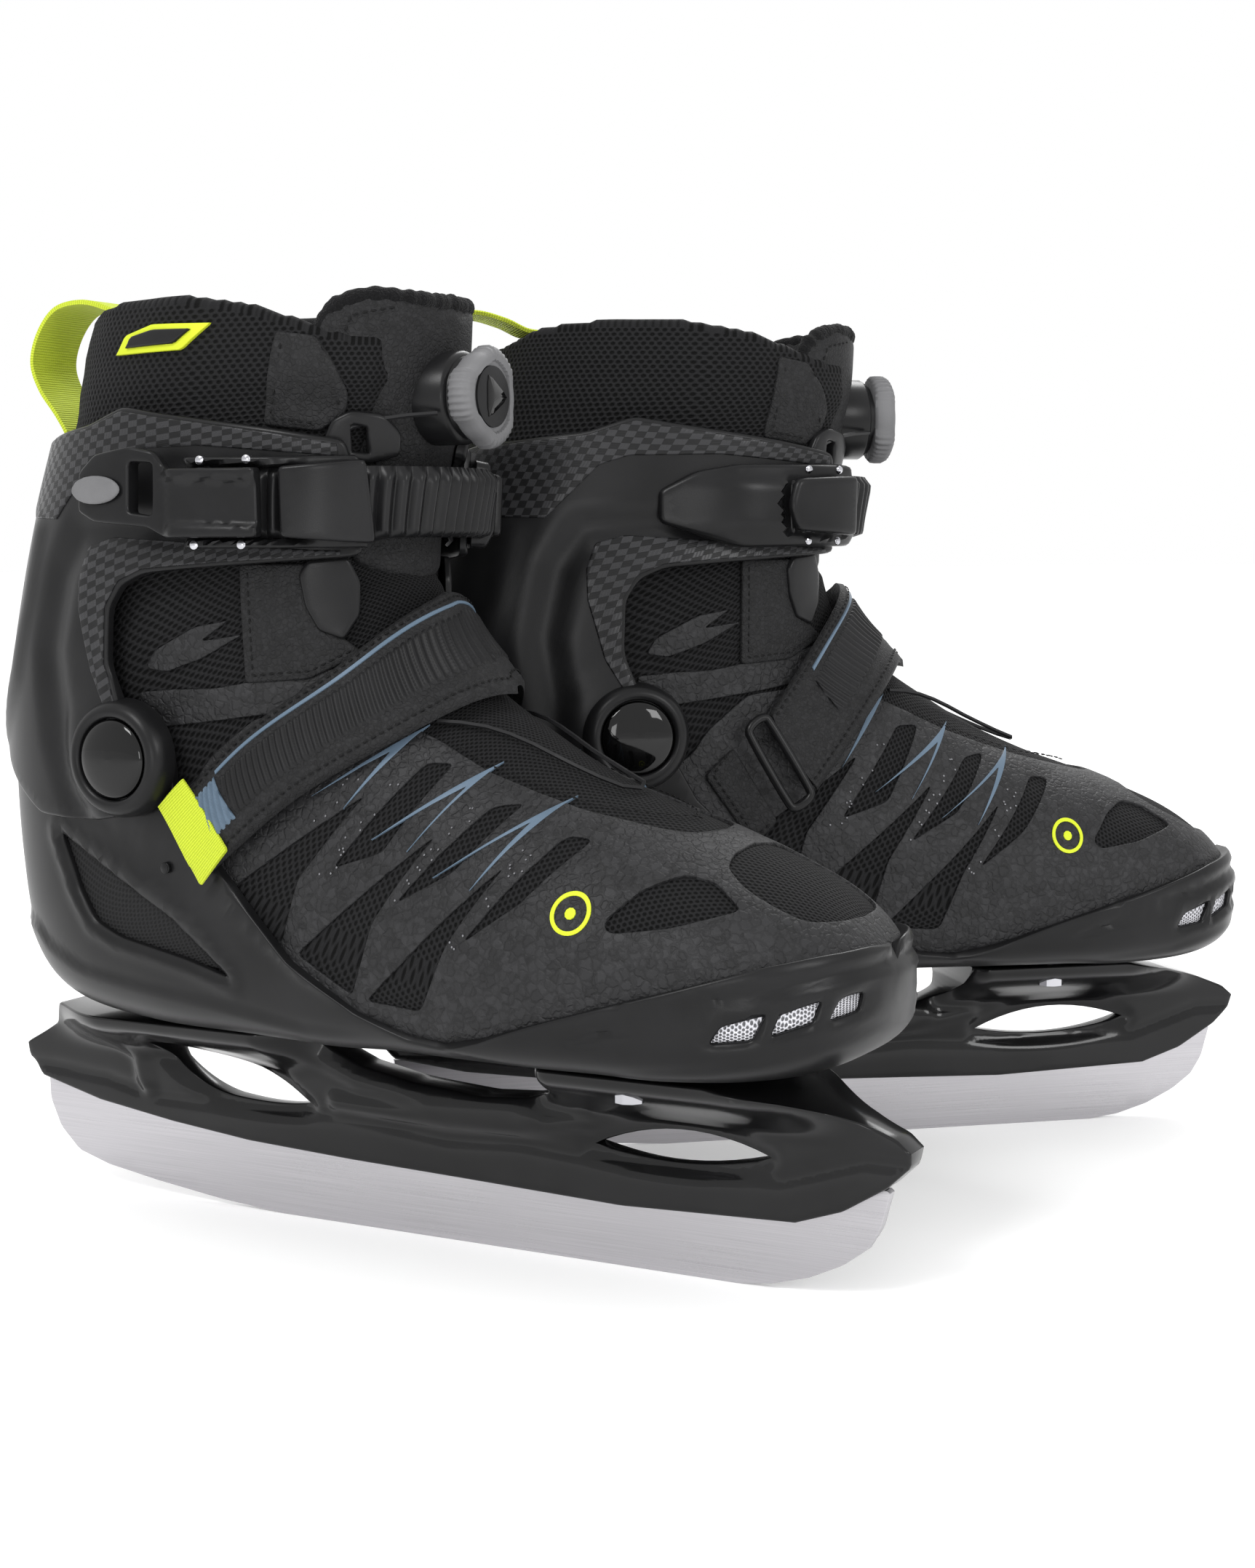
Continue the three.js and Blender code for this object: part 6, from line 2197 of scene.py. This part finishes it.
@dataclass
class InstepStrap:
    """Hook-and-loop strap with its ribbed band, stitching, tab, ring and anchor."""

    over_top: Points2 = ((18.5, 132.6), (40, 155), (64, 171), (77, 190), (84, 199))
    over_low: Points2 = ((30, 112.6), (58, 134.5), (98, 157), (106, 164), (111, 171))
    under_top: Points2 = ((80, 196), (72, 187), (58, 167), (45.6, 150.2))
    under_low: Points2 = ((108, 168), (92, 159), (80, 147), (61, 125))
    tab: Points2 = ((12.6, 131), (21, 139.4), (38, 119.4), (28.6, 109))
    anchor: Points2 = ((34, 140), (48.4, 115.8), (40, 108), (24, 131))
    ring: tuple[tuple[float, float, float], ...] = ((37.69, -44.73, 145.79), (51.84, -48.23, 120.07),
                                                    (59.02, -47.56, 124.76), (44.4, -43.24, 150.56))

    def body(self, run: Array, share: Array) -> Array:
        """The leather strap, a little swollen between its rows of stitches."""
        return 7.2 + 0.45 * smoothstep(0.12, 0.2, share) * (1 - smoothstep(0.8, 0.88, share))

    def ribs(self, run: Array, share: Array) -> Array:
        """Slanting ribs moulded into the centre band."""
        wave = np.cos((run + share * 9) * 2 * np.pi / 2.1)
        return 7.7 + 0.75 * smoothstep(-0.3, 0.5, wave)

    def build(self, shop: Shop) -> None:
        """Makes the strap and its hardware.

        Args:
            shop: where the pieces are made and dressed.
        """
        top, low = (over_instep(a, b, height=0.0) for a, b in ((self.over_top, self.under_top),
                                                              (self.over_low, self.under_low)))
        shop.piece("strap_band", ribbon(top, low, 4.9, self.body, 33), Paint.SUEDE, "strap", ["instep_strap"],
                   sharp=70)
        fine_top = over_instep(self.over_top, self.under_top, 620)
        fine_low = over_instep(self.over_low, self.under_low, 620)
        start = 24
        shop.piece("strap_ribs", ribbon(fine_top[70:-80], fine_low[70:-80], 6.9, self.ribs, 17, (0.28, 0.78)),
                   Paint.RUBBER, "strap", sharp=60)
        line = ribbon(top[start:-30], low[start:-30], 6.9,
                      lambda run, share: np.full(len(run), 7.95), 5, (0.15, 0.23))
        block = ribbon(fine_top[34:66], fine_low[34:66], 6.9, self.ribs, 17, (0.2, 0.8))
        shop.piece("strap_print", join([line, block]), Paint.PRINT, "strap", sharp=60)
        rows = []
        for share in (0.085, 0.905):
            rows.append(stitches(top * (1 - share) + low * share, 7.5, 2.6, 1.7))
        shop.piece("strap_stitches", join(rows), Paint.THREAD, "strap")
        tab = panel(BOOT, [outer(self.tab, 0.7, 1.2)], 7.4, lambda place, points: 8.5 + 0.2 * ripple(points, 16, 2),
                    0.35, 2.0)
        shop.piece("strap_tab", tab, Paint.LIME, "strap", sharp=60)
        corners = np.array(self.ring)
        middle = (corners + np.roll(corners, -1, 0)) / 2
        near = [c + (m - c) * 0.3 for c, m in zip(corners, middle)]
        back = [c + (m - c) * 0.3 for c, m in zip(corners, np.roll(middle, 1, 0))]
        route = [p for k in range(4) for p in (back[k], near[k])]
        path = spline(route, 80, closed=True)
        out = np.cross(corners[2] - corners[0], corners[3] - corners[1])
        wire = sweep(path, np.tile(out, (len(path), 1)), round_profile(1.45, 14), closed=True)
        shop.piece("wire_ring", wire, Paint.BUCKLE, "ring", ["strap_ring"], sharp=80)
        flap = panel(BOOT, [inner(self.anchor, 1.2, 1.2)], 0.7,
                     lambda place, points: 2.6 + 0.3 * ripple(points, 18, 5),
                     0.8, 2.0)
        shop.piece("anchor_flap", flap, Paint.SUEDE, "chassis", ["ring_anchor"], sharp=60)
        seam = run_on_skin(((31.6, 138), (26.8, 131.4), (40.6, 111), (46, 115.4))) * [1, -1]
        shop.piece("anchor_stitches", stitches(seam, 3.1), Paint.THREAD, "chassis")


# ---------------------------------------------------------------- the set
@dataclass
class Studio:
    """Camera, floor, world and soft lights."""

    offset: tuple[float, float, float] = (0.2265, -0.7001, 0.2033)
    heading: float = 98.2245
    pitch: float = -5.602
    roll: float = -0.42
    lens: float = 54.06

    def build(self, shop: Shop) -> None:
        """Stands the camera by the right skate's ankle and lights the set.

        Args:
            shop: where the pieces are made and dressed.
        """
        pivot, _ = shop.places[Side.RIGHT]
        az, down, turn = (math.radians(v) for v in (self.heading, self.pitch, self.roll))
        ahead = np.array([math.cos(az) * math.cos(down), math.sin(az) * math.cos(down), math.sin(down)])
        right = np.array([math.sin(az), -math.cos(az), 0.0])
        up = np.cross(right, ahead)
        right, up = right * math.cos(turn) + up * math.sin(turn), up * math.cos(turn) - right * math.sin(turn)
        data = bpy.data.cameras.new("camera")
        data.lens, data.sensor_width, data.sensor_height, data.sensor_fit = self.lens, 36, 36, "VERTICAL"
        data.clip_start, data.clip_end = 0.01, 100
        camera = bpy.data.objects.new("camera", data)
        turned = np.eye(4)
        turned[:3, 0], turned[:3, 1], turned[:3, 2], turned[:3, 3] = right, up, -ahead, pivot + np.array(self.offset)
        camera.matrix_world = Matrix(turned.tolist())
        scene = bpy.context.scene
        scene.collection.objects.link(camera)
        scene.camera = camera
        world = bpy.data.worlds.new("white room")
        world.use_nodes = True
        back = next(n for n in world.node_tree.nodes if n.type == "BACKGROUND")
        back.inputs["Color"].default_value = (1, 1, 1, 1)
        back.inputs["Strength"].default_value = 1.0
        scene.world = world
        scene.view_settings.view_transform = "Standard"
        mesh = bpy.data.meshes.new("floor")
        mesh.from_pydata([(-30, -30, 0), (30, -30, 0), (30, 30, 0), (-30, 30, 0)], [], [(0, 1, 2, 3)])
        floor = bpy.data.objects.new("floor", mesh)
        scene.collection.objects.link(floor)
        paper = bpy.data.materials.new("white paper")
        paper.use_nodes = True
        shader = next(n for n in paper.node_tree.nodes if n.type == "BSDF_PRINCIPLED")
        shader.inputs["Base Color"].default_value = (0.88, 0.88, 0.88, 1)
        shader.inputs["Roughness"].default_value = 0.9
        shader.inputs["Emission Color"].default_value = (1, 1, 1, 1)
        shader.inputs["Emission Strength"].default_value = 0.2
        mesh.materials.append(paper)
        self.light("key", (-0.6, -1.3, 1.5), 0.55, 15)
        self.light("fill", (1.3, -1.0, 0.8), 0.5, 7)
        self.light("rim", (0.2, 1.3, 1.4), 0.8, 12)
        self.light("low", (0.1, -1.7, 0.28), 0.35, 2.5)

    @staticmethod
    def light(name: str, spot: tuple[float, float, float], size: float, power: float) -> None:
        """A square soft light that looks at the ankles.

        Args:
            name: the light's name.
            spot: where it stands, in metres.
            size: its side in metres.
            power: its power in watts.
        """
        data = bpy.data.lights.new(name, "AREA")
        data.shape, data.size, data.energy = "SQUARE", size, power
        lamp = bpy.data.objects.new(name, data)
        lamp.location = spot
        lamp.rotation_euler = (Vector((0, 0, 0.14)) - Vector(spot)).to_track_quat("-Z", "Y").to_euler()
        bpy.context.scene.collection.objects.link(lamp)


def main() -> None:
    """Builds the sub-assemblies in order, from the ice up."""
    logging.basicConfig(level=logging.INFO, format="%(name)s %(message)s")
    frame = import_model()
    shop = Shop(frame)
    for part in (Studio(), Undercarriage(), SoleShell(), Upper(), Tongue(), PullLoop(), Cuff(), Ratchet(), Lacing(),
                 InstepStrap()):
        part.build(shop)
        log.info("%s done", type(part).__name__)
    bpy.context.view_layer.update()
    log.info("%d pieces", shop.count)


if __name__ == "__main__":
    main()
